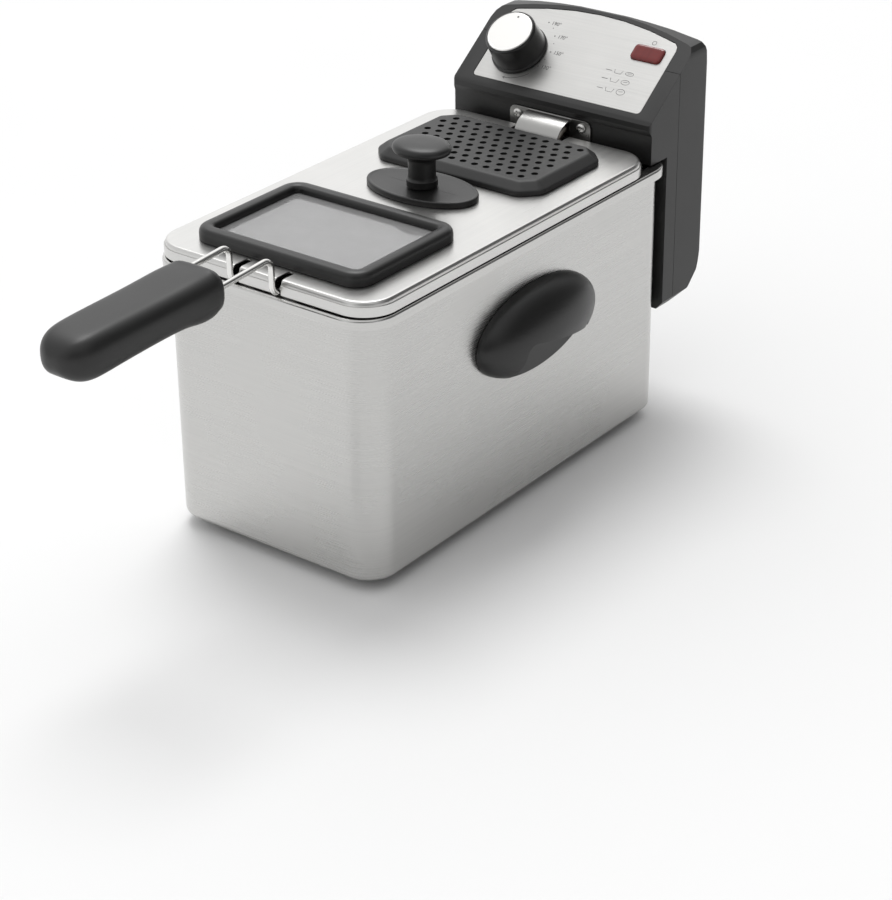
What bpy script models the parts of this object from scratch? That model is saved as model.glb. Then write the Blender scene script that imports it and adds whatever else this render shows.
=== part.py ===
"""Deep fryer: housing, lift-out oil tank, clip-on control unit, basket, handle and lid.

Metres, +Z up. X runs across the fryer, the basket handle points to -Y and the control
unit stands at the +Y end. The origin is on the table, under the middle of the object.
"""
import math

import bmesh
import bpy
from mathutils import Matrix, Vector

MM = 0.001

# Housing
SHELL_WIDTH = 178 * MM
SHELL_LENGTH = 340 * MM
SHELL_CORNER = 22 * MM
SHELL_WALL = 1.0 * MM
SHELL_CURL = 6 * MM                 # how far the bottom edge turns inwards
FOOT_HEIGHT = 8 * MM
FOOT_RADIUS = 11 * MM
FOOT_INSET = 27 * MM
BASE_WALL = 1.5 * MM
RIM_HEIGHT = 199 * MM               # top of the tank's flange above the table
HANDLE_REACH = 182 * MM             # grip tip in front of the shell
CONTROL_REACH = 56 * MM             # control unit's back behind the shell

# Side handles
SIDE_HANDLE_LENGTH = 131 * MM
SIDE_HANDLE_HEIGHT = 63.5 * MM
SIDE_HANDLE_DEPTH = 24 * MM
SIDE_HANDLE_Z = 133 * MM
SIDE_HANDLE_BEHIND = 6 * MM         # handle's middle behind the shell's middle
SIDE_HANDLE_BACK = 3 * MM           # thickness of the plate against the shell
SIDE_HANDLE_HOOD = 6.5 * MM         # thickness of the hood in front of the fingers

# Oil tank
TANK_WALL = 1.2 * MM
TANK_GAP = 3 * MM                   # between the shell's inside and the tank
TANK_DEPTH = 169 * MM
FLANGE_OVERHANG = 5 * MM
FLANGE_LIP = 7 * MM

# Lid
LID_OVERHANG = 4 * MM               # over the shell's sides
LID_FRONT_OVERHANG = 2 * MM
LID_CORNER = 24 * MM
LID_GAP = 1.2 * MM                  # between the flange and the skirt
LID_HEIGHT = 10.1 * MM
LID_WALL = 1.0 * MM
LID_TO_HEAD = 6 * MM                # lid's rear edge to the control head
LINER_DROP = 3.1 * MM               # liner's top below the lid's top
LINER_WALL = 1.2 * MM
SLOT_WIDTH = 5.2 * MM
SLOT_LENGTH = 15 * MM
NOTCH_CLEARANCE = 4 * MM            # round the element shroud

# Window
WINDOW_WIDTH = 142 * MM
WINDOW_LENGTH = 105.8 * MM
WINDOW_SETBACK = 16.6 * MM          # behind the lid's front edge
WINDOW_CORNER = 14 * MM
WINDOW_BAR = 10.6 * MM
WINDOW_HEIGHT = 9.5 * MM
PANE_THICKNESS = 3.2 * MM
PANE_LEDGE = 3.6 * MM               # how far the bar covers the pane's edge

# Lid knob
KNOB_SETBACK = 172 * MM
KNOB_BASE = (44 * MM, 25.5 * MM)      # half sizes in X and Y
KNOB_BASE_HEIGHT = 4 * MM
KNOB_CAP = (21.3 * MM, 18 * MM)
KNOB_STEM = 9.5 * MM
KNOB_RISE = 36 * MM                 # knob's top above the lid
KNOB_SCREW = 2 * MM

# Filter cover
FILTER_WIDTH = 143 * MM
FILTER_LENGTH = 94 * MM
FILTER_SETBACK = 200 * MM
FILTER_CORNER = 12 * MM
FILTER_HEIGHT = 9 * MM
FILTER_WALL = 2 * MM
FILTER_HOLE = 3.1 * MM              # half diagonal of one vent hole
FILTER_ROWS = 8
FILTER_COLUMNS = 12
FILTER_OPENING_MARGIN = 13 * MM     # cover's edge to the opening under it

# Control unit
CONTROL_WIDTH = 173 * MM
CONTROL_GAP = 3 * MM                # shell's back to the unit's front wall
CONTROL_BOTTOM = 80 * MM
CONTROL_WALL = 2.4 * MM
HEEL = (36 * MM, 18 * MM, 6.5 * MM)  # underside's slope: start before the back, run, rise
CONTROL_CORNER = 5 * MM             # upright edges at the back
HEAD_CORNER = 2 * MM                # and at the head's front
CONTROL_SHOULDER = 8 * MM           # rounding between the arched top and the sides
HEAD_OVERHANG = 18 * MM             # how far the head reaches over the tank
HEAD_GAP = 0.7 * MM                 # head's underside above the flange
LIP_PROUD = 2.5 * MM
LIP_RISE = 25 * MM                  # middle of the front lip above the flange
COVER_SEAM = 17 * MM                # rear cover's seam behind the shell
PANEL_ANGLE = math.radians(36)
PANEL_SETBACK = 3.3 * MM            # panel's lower edge behind the head's front
PANEL_RISE = 35.5 * MM              # panel's lower edge above the flange
PANEL_WIDTH = 146 * MM
PANEL_SIDE = 64 * MM                # panel's length along the slope at its sides
PANEL_ARCH = 73 * MM                # and at its middle
PANEL_CORNER = 7 * MM               # at the top
PANEL_FOOT_CORNER = 3 * MM          # at the bottom
PANEL_THICKNESS = 1.0 * MM
PANEL_RECESS = 1.5 * MM
PANEL_TO_RIDGE = 3 * MM             # panel's top to the casing's ridge
ARCH_DROP = 7 * MM                    # casing's ridge, middle to sides

# Dial, lamp and reset button
DIAL_X = -47 * MM
DIAL_S = 29 * MM                    # along the slope from the panel's lower edge
DIAL_RADIUS = 21.5 * MM
DIAL_FACE = 17.6 * MM
DIAL_HEIGHT = 22 * MM
SHAFT_RADIUS = 3 * MM
LAMP_X = 53.5 * MM
LAMP_S = 49.5 * MM
LAMP_SIZE = (25 * MM, 13 * MM)
RESET_RADIUS = 3 * MM
RESET_PLACE = (45 * MM, 150 * MM)   # X and Z on the unit's back
RESET_PROUD = 2.2 * MM
RESET_DEPTH = 7 * MM                # button's inner end below the unit's back
RESET_TRAVEL = 1.5 * MM

# Heating element and its shroud
ELEMENT_RADIUS = 3.5 * MM
ELEMENT_LEG_X = 12 * MM
ELEMENT_BEND = 11 * MM
ELEMENT_MARGIN = 24 * MM            # outer run to the tank's inner wall
ELEMENT_INNER_X = 25 * MM
ELEMENT_RISE = 19 * MM              # above the tank's floor
LEG_SETBACK = 11 * MM               # legs in front of the head
LEG_EXIT_RISE = 13 * MM             # where the legs leave the head, above the flange
SENSOR_RADIUS = 2.8 * MM
CAPILLARY_RADIUS = 1.2 * MM
SENSOR_LEG_X = 4 * MM
SENSOR_LENGTH = 80 * MM
SHROUD_WIDTH = 70.8 * MM
SHROUD_LOW = 4.6 * MM               # plate's lower edge above the flange
SHROUD_HIGH = 22 * MM
SHROUD_WALL = 1.2 * MM
HOOD_WIDTH = 37.5 * MM
HOOD_REACH = 19 * MM
HOOD_RISE = 14.5 * MM
SHROUD_SCREW_X = 27.8 * MM

# Basket and its handle
BASKET_FRONT_GAP = 14.8 * MM        # basket's front to the tank's inner wall
BASKET_SIDE_GAP = 15.8 * MM
BASKET_BACK_GAP = 25 * MM           # basket's back to the element's legs
BASKET_CORNER = 22 * MM
BASKET_WALL = 1.2 * MM
BASKET_TAPER = 3 * MM
BASKET_TOP_DROP = 27 * MM           # basket's top below the flange
BASKET_FLOOR_GAP = 12.5 * MM        # basket's floor above the element
RIM_WIRE = 1.9 * MM
HOOP_WIRE = 1.5 * MM
HANDLE_WIRE = 2.1 * MM
HANDLE_WIRE_X = 17.5 * MM
HANDLE_WIRE_BEND = 4.5 * MM
SOCKET_WALL = 1.1 * MM
SOCKET_DEPTH = 24 * MM
GRIP_GAP = 51 * MM                  # grip's inner end to the shell
GRIP_WIDTH = 45 * MM
GRIP_HEIGHT = 30 * MM
GRIP_RISE = 22 * MM                 # grip's middle above the rim
GRIP_DROOP = 3 * MM
WIRE_IN_GRIP = 30 * MM

# Clearances
FIT = 0.3 * MM                      # between pieces that touch
RUNNING = 0.4 * MM                  # round a shaft or a button
CORNER_STEPS = 4

# Places worked out from the sizes above
SHELL_FRONT = HANDLE_REACH - (HANDLE_REACH + SHELL_LENGTH + CONTROL_REACH) / 2
SHELL_BACK = SHELL_FRONT + SHELL_LENGTH
SHELL_MID = (SHELL_FRONT + SHELL_BACK) / 2
CONTROL_BACK = SHELL_BACK + CONTROL_REACH
CONTROL_FRONT = SHELL_BACK + CONTROL_GAP
HEAD_FRONT = SHELL_BACK - HEAD_OVERHANG
HEAD_BOTTOM = RIM_HEIGHT + HEAD_GAP
TANK_INSET = SHELL_WALL + TANK_GAP
TANK_BOTTOM = RIM_HEIGHT - TANK_DEPTH
TANK_INNER_X = SHELL_WIDTH / 2 - TANK_INSET - TANK_WALL
TANK_INNER_FRONT = SHELL_FRONT + TANK_INSET + TANK_WALL
LID_FRONT = SHELL_FRONT - LID_FRONT_OVERHANG
LID_BACK = HEAD_FRONT - LID_TO_HEAD
LID_TOP = RIM_HEIGHT + LID_GAP + LID_HEIGHT
LID_BOTTOM = RIM_HEIGHT + LID_GAP
WINDOW_MID = LID_FRONT + WINDOW_SETBACK + WINDOW_LENGTH / 2
KNOB_Y = LID_FRONT + KNOB_SETBACK
FILTER_MID = LID_FRONT + FILTER_SETBACK + FILTER_LENGTH / 2
LINER_TOP = LID_TOP - LINER_DROP
PANEL_Y = HEAD_FRONT + PANEL_SETBACK
PANEL_Z = RIM_HEIGHT + PANEL_RISE
LEG_Y = HEAD_FRONT - LEG_SETBACK
LEG_Z = RIM_HEIGHT + LEG_EXIT_RISE
ELEMENT_Z = TANK_BOTTOM + TANK_WALL + ELEMENT_RISE
BASKET_FRONT = TANK_INNER_FRONT + BASKET_FRONT_GAP
BASKET_BACK = LEG_Y - BASKET_BACK_GAP
BASKET_MID = (BASKET_FRONT + BASKET_BACK) / 2
BASKET_HALF_X = TANK_INNER_X - BASKET_SIDE_GAP
BASKET_HALF_Y = (BASKET_BACK - BASKET_FRONT) / 2
BASKET_TOP = RIM_HEIGHT - BASKET_TOP_DROP
GRIP_Z = RIM_HEIGHT + GRIP_RISE
BASKET_FLOOR = ELEMENT_Z + ELEMENT_RADIUS + BASKET_FLOOR_GAP
BRACKET_BACK = BASKET_FRONT - 2 * RIM_WIRE - 2 * FIT
SOCKET_REACH = HANDLE_WIRE + FIT + SOCKET_WALL
SOCKET_Y = TANK_INNER_FRONT + SOCKET_WALL + SOCKET_REACH
SIDES = (("left", -1), ("right", 1))


def clear_scene():
    for thing in list(bpy.data.objects):
        bpy.data.objects.remove(thing, do_unlink=True)


def finish(name, colour, roughness, metallic=0.0):
    """A plain Principled material in one of the fryer's finishes."""
    material = bpy.data.materials.new(name)
    material.use_nodes = True
    shader = material.node_tree.nodes["Principled BSDF"]
    shader.inputs["Base Color"].default_value = (*colour, 1)
    shader.inputs["Roughness"].default_value = roughness
    shader.inputs["Metallic"].default_value = metallic
    material.diffuse_color = (*colour, 1)
    return material


def make_finishes():
    return {
        "steel": finish("steel", (0.62, 0.62, 0.60), 0.32, 1.0),
        "chrome": finish("chrome", (0.75, 0.75, 0.74), 0.12, 1.0),
        "panel": finish("panel", (0.66, 0.66, 0.64), 0.40, 1.0),
        "plastic": finish("plastic", (0.025, 0.025, 0.026), 0.42),
        "rubber": finish("rubber", (0.03, 0.03, 0.03), 0.80),
        "glass": finish("glass", (0.20, 0.21, 0.21), 0.05),
        "red": finish("red", (0.35, 0.01, 0.01), 0.15),
        "ceramic": finish("ceramic", (0.72, 0.70, 0.64), 0.60),
        "filter": finish("filter", (0.45, 0.45, 0.44), 0.55, 1.0),
    }


def finished(name, material, bm):
    """Turn a bmesh into a smooth-shaded object, with its faces pointing out."""
    bmesh.ops.recalc_face_normals(bm, faces=bm.faces)
    mesh = bpy.data.meshes.new(name)
    bm.to_mesh(mesh)
    bm.free()
    mesh.materials.append(material)
    mesh.shade_smooth()
    mesh.set_sharp_from_angle(angle=math.radians(35))
    thing = bpy.data.objects.new(name, mesh)
    bpy.context.scene.collection.objects.link(thing)
    return thing


def loft(name, material, loops, closed=False):
    """Skin a row of loops: capped at both ends, or joined last to first when closed."""
    bm = bmesh.new()
    rings = [[bm.verts.new(point) for point in loop] for loop in loops]
    following = rings[1:] + rings[:1] if closed else rings[1:]
    for low, high in zip(rings, following):
        for here in range(len(low)):
            there = (here + 1) % len(low)
            bm.faces.new((low[here], low[there], high[there], high[here]))
    if not closed:
        bm.faces.new(rings[0])
        bm.faces.new(rings[-1])
    return finished(name, material, bm)


def rounded_outline(half_x, half_y, radius, steps=CORNER_STEPS):
    """A rectangle about (0, 0) whose corners are arcs, or chamfers with one step."""
    radius = max(radius, 0.4 * MM)
    points = []
    for corner, (side_x, side_y) in enumerate(((1, 1), (-1, 1), (-1, -1), (1, -1))):
        for step in range(steps + 1):
            angle = math.radians(90 * (corner + step / steps))
            points.append((side_x * (half_x - radius) + radius * math.cos(angle),
                           side_y * (half_y - radius) + radius * math.sin(angle)))
    return points


def walled(name, material, half, corner, mid_y, profile, closed=False, steps=CORNER_STEPS):
    """Sweep a profile of (outward offset, z) points round a rounded rectangle."""
    loops = []
    for offset, z in profile:
        outline = rounded_outline(half[0] + offset, half[1] + offset, corner + offset, steps)
        loops.append([(x, mid_y + y, z) for x, y in outline])
    return loft(name, material, loops, closed)


def arc_points(centre, radius, first, steps=3):
    """A quarter circle from a first angle in degrees."""
    angles = [math.radians(first + 90 * step / steps) for step in range(steps + 1)]
    return [(centre[0] + radius * math.cos(a), centre[1] + radius * math.sin(a)) for a in angles]


def prism(name, material, outline, axis, low, high):
    """Extrude an outline along one axis; the outline holds the other two, in order."""
    place = {
        "x": lambda first, second, along: (along, first, second),
        "y": lambda first, second, along: (first, along, second),
        "z": lambda first, second, along: (first, second, along),
    }[axis]
    loops = [[place(first, second, along) for first, second in outline] for along in (low, high)]
    return loft(name, material, loops)


def block(name, material, low, high):
    outline = [(low[0], low[1]), (high[0], low[1]), (high[0], high[1]), (low[0], high[1])]
    return prism(name, material, outline, "z", low[2], high[2])


def stacked(name, material, sections, place, closed=False, steps=20):
    """Skin ovals of (half width, half depth, height) along a placed axis."""
    loops = []
    for half_width, half_depth, height in sections:
        angles = [2 * math.pi * step / steps for step in range(steps)]
        loops.append([place @ Vector((half_width * math.cos(angle),
                                      half_depth * math.sin(angle), height))
                      for angle in angles])
    return loft(name, material, loops, closed)


def turned(name, material, profile, place, closed=False, steps=20):
    """A turned piece from (radius, height) points."""
    return stacked(name, material, [(r, r, height) for r, height in profile], place, closed, steps)


def at(x, y, z):
    return Matrix.Translation((x, y, z))


def facing(place, direction):
    """A frame at a place whose +Z looks along a direction."""
    return at(*place) @ Vector(direction).to_track_quat("Z", "Y").to_matrix().to_4x4()


def bent(points, bend, steps=3):
    """A wire's centre line: straight runs whose corners are rounded to one radius."""
    points = [Vector(point) for point in points]
    line = [points[0]]
    for before, corner, after in zip(points, points[1:], points[2:]):
        back = (before - corner).normalized()
        ahead = (after - corner).normalized()
        half_angle = back.angle(ahead) / 2
        centre = corner + (back + ahead).normalized() * bend / math.sin(half_angle)
        start = corner + back * bend / math.tan(half_angle) - centre
        end = corner + ahead * bend / math.tan(half_angle) - centre
        for step in range(steps + 1):
            line.append(centre + start.lerp(end, step / steps).normalized() * bend)
    line.append(points[-1])
    return line


def tube(name, material, line, radius, sides=8):
    """Sweep a circle along a line; the radius may change from point to point."""
    radii = radius if isinstance(radius, list) else [radius] * len(line)
    last = len(line) - 1
    side = (line[1] - line[0]).orthogonal()
    loops = []
    for index, point in enumerate(line):
        ahead = (line[min(index + 1, last)] - line[max(index - 1, 0)]).normalized()
        side = (side - ahead * side.dot(ahead)).normalized()
        other = ahead.cross(side)
        turns = [2 * math.pi * step / sides for step in range(sides)]
        loops.append([point + (side * math.cos(turn) + other * math.sin(turn)) * radii[index]
                      for turn in turns])
    return loft(name, material, loops)


def inset_outline(points, distance):
    """Move every side of a closed counter-clockwise outline inwards by one distance."""
    sides = []
    for here, there in zip(points, points[1:] + points[:1]):
        run = Vector(there) - Vector(here)
        inward = Vector((-run.y, run.x)).normalized()
        sides.append((Vector(here) + inward * distance, run))
    corners = []
    for (start, run), (next_start, next_run) in zip(sides[-1:] + sides[:-1], sides):
        along = (next_start - start).cross(next_run) / run.cross(next_run)
        corners.append(tuple(start + run * along))
    return corners


def combine(target, tool, operation="DIFFERENCE"):
    """Cut, join or intersect a piece with a hidden tool."""
    modifier = target.modifiers.new(tool.name, "BOOLEAN")
    modifier.object = tool
    modifier.operation = operation
    modifier.solver = "EXACT"
    tool.hide_render = True
    tool.display_type = "WIRE"


def on_panel(x, along, above):
    """A point given across and along the sloping panel, and above it."""
    return (x,
            PANEL_Y + along * math.cos(PANEL_ANGLE) - above * math.sin(PANEL_ANGLE),
            PANEL_Z + along * math.sin(PANEL_ANGLE) + above * math.cos(PANEL_ANGLE))


def panel_prism(name, material, outline, low, high):
    loops = [[on_panel(x, along, above) for x, along in outline] for above in (low, high)]
    return loft(name, material, loops)


def panel_axis(x, along):
    """The frame of a turned piece that stands on the panel."""
    return facing(on_panel(x, along, 0), (0, -math.sin(PANEL_ANGLE), math.cos(PANEL_ANGLE)))


# ---------------------------------------------------------------- housing

def outer_shell(finishes):
    """Brushed steel sleeve, open at the top, its bottom edge curled inwards."""
    top = RIM_HEIGHT - TANK_WALL - 1.0 * MM
    low = FOOT_HEIGHT
    outside = [(-SHELL_CURL, low), (-3 * MM, low + 0.4 * MM), (-0.9 * MM, low + 2.2 * MM),
               (0, low + 5.5 * MM), (0, top)]
    inside = [(-SHELL_WALL, top), (-SHELL_WALL, low + 5.8 * MM), (-0.7 * MM - SHELL_WALL, low + 3 * MM),
              (-2.4 * MM - SHELL_WALL, low + 0.4 * MM + SHELL_WALL), (-SHELL_CURL, low + SHELL_WALL)]
    return [walled("outer_shell", finishes["steel"], (SHELL_WIDTH / 2, SHELL_LENGTH / 2),
                   SHELL_CORNER, SHELL_MID, outside + inside, closed=True)]


def base_plate(finishes):
    inset = SHELL_WALL + 3 * MM
    low = FOOT_HEIGHT + SHELL_WALL + 0.7 * MM
    return [walled("base_plate", finishes["steel"], (SHELL_WIDTH / 2, SHELL_LENGTH / 2),
                   SHELL_CORNER, SHELL_MID, [(-inset, low), (-inset, low + BASE_WALL)])]


def feet(finishes):
    """Four round feet under the base plate, slightly wider at the top."""
    made = []
    top = FOOT_HEIGHT + SHELL_WALL + 0.7 * MM - FIT
    for end, y in (("front", SHELL_FRONT + FOOT_INSET), ("rear", SHELL_BACK - FOOT_INSET)):
        for side, sign in SIDES:
            profile = [(FOOT_RADIUS - 1.5 * MM, 0), (FOOT_RADIUS - 0.4 * MM, 1.2 * MM),
                       (FOOT_RADIUS, top)]
            place = at(sign * (SHELL_WIDTH / 2 - FOOT_INSET), y, 0)
            made.append(turned(f"foot_{end}_{side}", finishes["rubber"], profile, place, steps=16))
    return made


def dome_sections(half_length, half_height, depth, start, rows=6):
    """Ovals of half an ellipsoid from a starting depth out to its crown."""
    sections = []
    for row in range(rows + 1):
        height = start + (depth - start) * math.sin(math.pi / 2 * row / rows)
        shrink = math.sqrt(max(1 - (height / depth) ** 2, 0.002))
        sections.append((half_length * shrink, half_height * shrink, height))
    return sections


def side_handles(finishes):
    """A domed hood on each side, hollow from below for the fingers, and its inner clamp."""
    made = []
    for side, sign in SIDES:
        wall = sign * SHELL_WIDTH / 2
        middle = SHELL_MID + SIDE_HANDLE_BEHIND
        outward = Matrix(((0, 0, sign, wall), (1, 0, 0, middle),
                          (0, 1, 0, SIDE_HANDLE_Z), (0, 0, 0, 1)))
        hood = stacked(f"side_handle_{side}", finishes["plastic"],
                       dome_sections(SIDE_HANDLE_LENGTH / 2, SIDE_HANDLE_HEIGHT / 2,
                                     SIDE_HANDLE_DEPTH, FIT), outward, steps=28)
        recess_depth = SIDE_HANDLE_DEPTH - SIDE_HANDLE_HOOD
        recess = [(SIDE_HANDLE_LENGTH * 0.40, SIDE_HANDLE_HEIGHT * 0.44, SIDE_HANDLE_BACK),
                  (SIDE_HANDLE_LENGTH * 0.37, SIDE_HANDLE_HEIGHT * 0.42, recess_depth * 0.7),
                  (SIDE_HANDLE_LENGTH * 0.31, SIDE_HANDLE_HEIGHT * 0.36, recess_depth)]
        lower = outward @ at(0, -SIDE_HANDLE_HEIGHT * 0.27, 0)
        combine(hood, stacked(f"cut_fingers_{side}", finishes["plastic"], recess, lower, steps=20))
        inner = sign * (SHELL_WIDTH / 2 - SHELL_WALL - FIT)
        clamp_low = (min(inner, inner - sign * 1.5 * MM), middle - SIDE_HANDLE_LENGTH * 0.4,
                     SIDE_HANDLE_Z - 8 * MM)
        clamp_high = (max(inner, inner - sign * 1.5 * MM), middle + SIDE_HANDLE_LENGTH * 0.4,
                      SIDE_HANDLE_Z + 8 * MM)
        made += [hood, block(f"handle_clamp_{side}", finishes["steel"], clamp_low, clamp_high)]
    return made


def control_guide(finishes):
    """Plate on the shell's back that the control unit slides down over."""
    outline = rounded_outline(40 * MM, 43 * MM, 6 * MM, steps=2)
    mid = CONTROL_BOTTOM + 55 * MM
    return [prism("control_guide", finishes["steel"], [(x, mid + z) for x, z in outline], "y",
                  SHELL_BACK + FIT, CONTROL_FRONT - FIT)]


# ---------------------------------------------------------------- oil tank

def oil_tank(finishes):
    """Pressed steel tank whose flange hooks over the shell; the back has no lip."""
    wall = -TANK_INSET
    inner = wall - TANK_WALL
    floor = TANK_BOTTOM
    top = RIM_HEIGHT
    under = top - TANK_WALL
    lip = FLANGE_OVERHANG - TANK_WALL
    profile = [(wall - 12 * MM, floor), (wall - 4 * MM, floor + 2 * MM), (wall, floor + 10 * MM),
               (wall, under), (lip, under), (lip, top - FLANGE_LIP),
               (FLANGE_OVERHANG, top - FLANGE_LIP), (FLANGE_OVERHANG, top - 1.6 * MM),
               (FLANGE_OVERHANG - 1.6 * MM, top), (inner + 1.5 * MM, top), (inner, top - 1.5 * MM),
               (inner, floor + 10.5 * MM), (inner - 3.5 * MM, floor + 3.4 * MM),
               (inner - 11.5 * MM, floor + TANK_WALL)]
    tank = walled("oil_tank", finishes["steel"], (SHELL_WIDTH / 2, SHELL_LENGTH / 2),
                  SHELL_CORNER, SHELL_MID, profile)
    combine(tank, block("cut_rear_lip", finishes["steel"],
                        (-SHELL_WIDTH, SHELL_BACK - 0.1 * MM, 0),
                        (SHELL_WIDTH, SHELL_BACK + FLANGE_OVERHANG * 2, RIM_HEIGHT * 1.2)))
    return [tank]


# ---------------------------------------------------------------- control unit

def control_side_outline():
    """The unit seen from its left: (y, z), counter-clockwise from the head's underside."""
    slope = math.tan(PANEL_ANGLE)
    ridge_y = PANEL_Y + (PANEL_ARCH + PANEL_TO_RIDGE) * math.cos(PANEL_ANGLE)
    ridge_z = PANEL_Z + (ridge_y - PANEL_Y) * slope
    lip_z = RIM_HEIGHT + LIP_RISE
    back = CONTROL_BACK
    low = CONTROL_BOTTOM
    return [(CONTROL_FRONT, HEAD_BOTTOM), (CONTROL_FRONT, low),
            (back - HEEL[0], low), (back - HEEL[0] + HEEL[1], low + HEEL[2]),
            (back - 7 * MM, low + 17 * MM), (back - 2 * MM, low + 32 * MM), (back, low + 50 * MM),
            (back, ridge_z - 38 * MM), (back - 1.4 * MM, ridge_z - 29 * MM),
            (ridge_y + 3.6 * MM, ridge_z - 3 * MM), (ridge_y + 1.8 * MM, ridge_z),
            (ridge_y - 0.4 * MM, ridge_z),
            (HEAD_FRONT, PANEL_Z - PANEL_SETBACK * slope),
            (HEAD_FRONT - LIP_PROUD, lip_z + 5.6 * MM), (HEAD_FRONT - LIP_PROUD, lip_z + 2 * MM),
            (HEAD_FRONT, lip_z - 3 * MM), (HEAD_FRONT, HEAD_BOTTOM)]


def control_front_outline():
    """The unit seen from the front: (x, z) with an arched top."""
    half = CONTROL_WIDTH / 2
    low = CONTROL_BOTTOM
    top = PANEL_Z + (PANEL_ARCH + PANEL_TO_RIDGE) * math.sin(PANEL_ANGLE) + 0.5 * MM
    shoulder = top - ARCH_DROP - CONTROL_SHOULDER
    reach = half - CONTROL_SHOULDER
    points = [(6 * MM - half, low - 1 * MM), (half - 6 * MM, low - 1 * MM), (half, low + 6 * MM)]
    points += arc_points((reach, shoulder), CONTROL_SHOULDER, 0)
    for step in range(1, 8):
        x = reach * (1 - step / 4)
        points.append((x, top - ARCH_DROP * (x / reach) ** 2))
    points += arc_points((-reach, shoulder), CONTROL_SHOULDER, 90)
    points.append((-half, low + 6 * MM))
    return points


def control_solid(name, material, inset):
    """The whole unit's form, moved inwards all over by a distance."""
    half = CONTROL_WIDTH / 2 - inset
    side = inset_outline(control_side_outline(), inset)
    form = prism(name, material, side, "x", -half, half)
    front = inset_outline(control_front_outline(), inset)
    combine(form, prism(f"{name}_front", material, front, "y", HEAD_FRONT - 20 * MM,
                        CONTROL_BACK + 20 * MM), "INTERSECT")
    front_y, back_y = HEAD_FRONT - LIP_PROUD + inset, CONTROL_BACK - inset
    near, far = max(HEAD_CORNER - inset, FIT), CONTROL_CORNER - inset
    plan = (arc_points((near - half, front_y + near), near, 180, 2)
            + arc_points((half - near, front_y + near), near, 270, 2)
            + arc_points((half - far, back_y - far), far, 0)
            + arc_points((far - half, back_y - far), far, 90))
    combine(form, prism(f"{name}_plan", material, plan, "z", 0, 2 * RIM_HEIGHT), "INTERSECT")
    return form


def keep_slice(piece, low, high):
    """Keep only the part of a piece between two Y planes."""
    wide = SHELL_WIDTH
    combine(piece, block(f"slice_{piece.name}", piece.data.materials[0],
                         (-wide, low, -wide), (wide, high, 3 * wide)), "INTERSECT")


def panel_outline(clearance):
    """The faceplate across and along the slope, with round corners and an arched top."""
    half, side, arch = PANEL_WIDTH / 2 + clearance, PANEL_SIDE + clearance, PANEL_ARCH + clearance
    foot, corner = PANEL_FOOT_CORNER + clearance, PANEL_CORNER + clearance
    points = arc_points((foot - half, foot - clearance), foot, 180)
    points += arc_points((half - foot, foot - clearance), foot, 270)
    points += arc_points((half - corner, side - corner), corner, 0)
    reach = half - corner
    for step in range(1, 6):
        x = reach * (1 - step / 3)
        points.append((x, arch - (arch - side) * (x / reach) ** 2))
    return points + arc_points((corner - half, side - corner), corner, 90)


def lamp_outline(clearance):
    outline = rounded_outline(LAMP_SIZE[0] / 2 + clearance, LAMP_SIZE[1] / 2 + clearance,
                              3 * MM + clearance, steps=3)
    return [(LAMP_X + x, LAMP_S + along) for x, along in outline]


def panel_cuts(name, material):
    """Tools for the dial's shaft and the lamp, shared by the faceplate and the casing."""
    deep = 3 * CONTROL_WALL
    return [turned(f"cut_shaft_{name}", material, [(SHAFT_RADIUS + 1 * MM, -deep),
                                                   (SHAFT_RADIUS + 1 * MM, deep)],
                   panel_axis(DIAL_X, DIAL_S), steps=12),
            panel_prism(f"cut_lamp_{name}", material, lamp_outline(FIT), -deep, deep)]


def control_casing(finishes):
    """Front shell with the head, and the rear cover behind the seam."""
    plastic = finishes["plastic"]
    seam = SHELL_BACK + COVER_SEAM
    front = control_solid("control_front_shell", plastic, 0)
    rear = control_solid("control_rear_cover", plastic, 0)
    void = control_solid("cut_control_inside", plastic, CONTROL_WALL)
    for piece, low, high in ((front, HEAD_FRONT - 1, seam - FIT / 2),
                             (rear, seam + FIT / 2, CONTROL_BACK + 1)):
        combine(piece, void)
        keep_slice(piece, low, high)
    recess_tool = panel_prism("cut_panel_recess", plastic, panel_outline(FIT), -PANEL_RECESS, 5 * MM)
    for piece in (front, rear):
        combine(piece, recess_tool)
    for tool in panel_cuts("casing", plastic):
        combine(front, tool)
        combine(rear, tool)
    combine(front, block("cut_leg_slot", plastic, (-ELEMENT_LEG_X - 5 * MM, HEAD_FRONT - 1 * MM,
                                                   LEG_Z - 5.5 * MM),
                         (ELEMENT_LEG_X + 5 * MM, HEAD_FRONT + 2 * CONTROL_WALL, LEG_Z + 5.5 * MM)))
    for side, sign in SIDES:
        combine(front, shroud_screw_hole(f"cut_casing_screw_{side}", plastic, sign))
    combine(rear, turned("cut_reset", plastic, [(RESET_RADIUS + RUNNING, -10 * MM),
                                                (RESET_RADIUS + RUNNING, 10 * MM)],
                         reset_axis(), steps=16))
    combine(rear, turned("cut_gland", plastic, [(6.3 * MM, -10 * MM), (6.3 * MM, 10 * MM)],
                         gland_axis(), steps=16))
    for index, (x, z) in enumerate(rear_screw_places()):
        combine(rear, turned(f"cut_rear_screw_{index + 1}", plastic,
                             [(2 * MM, -12 * MM), (2 * MM, -1.8 * MM), (4 * MM, -1.8 * MM),
                              (4 * MM, 5 * MM)], facing((x, CONTROL_BACK, z), (0, 1, 0)), steps=12))
    return [front, rear]


def faceplate(finishes):
    low = FIT - PANEL_RECESS
    plate = panel_prism("faceplate", finishes["panel"], panel_outline(0), low, low + PANEL_THICKNESS)
    for tool in panel_cuts("faceplate", finishes["panel"]):
        combine(plate, tool)
    return [plate]


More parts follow.
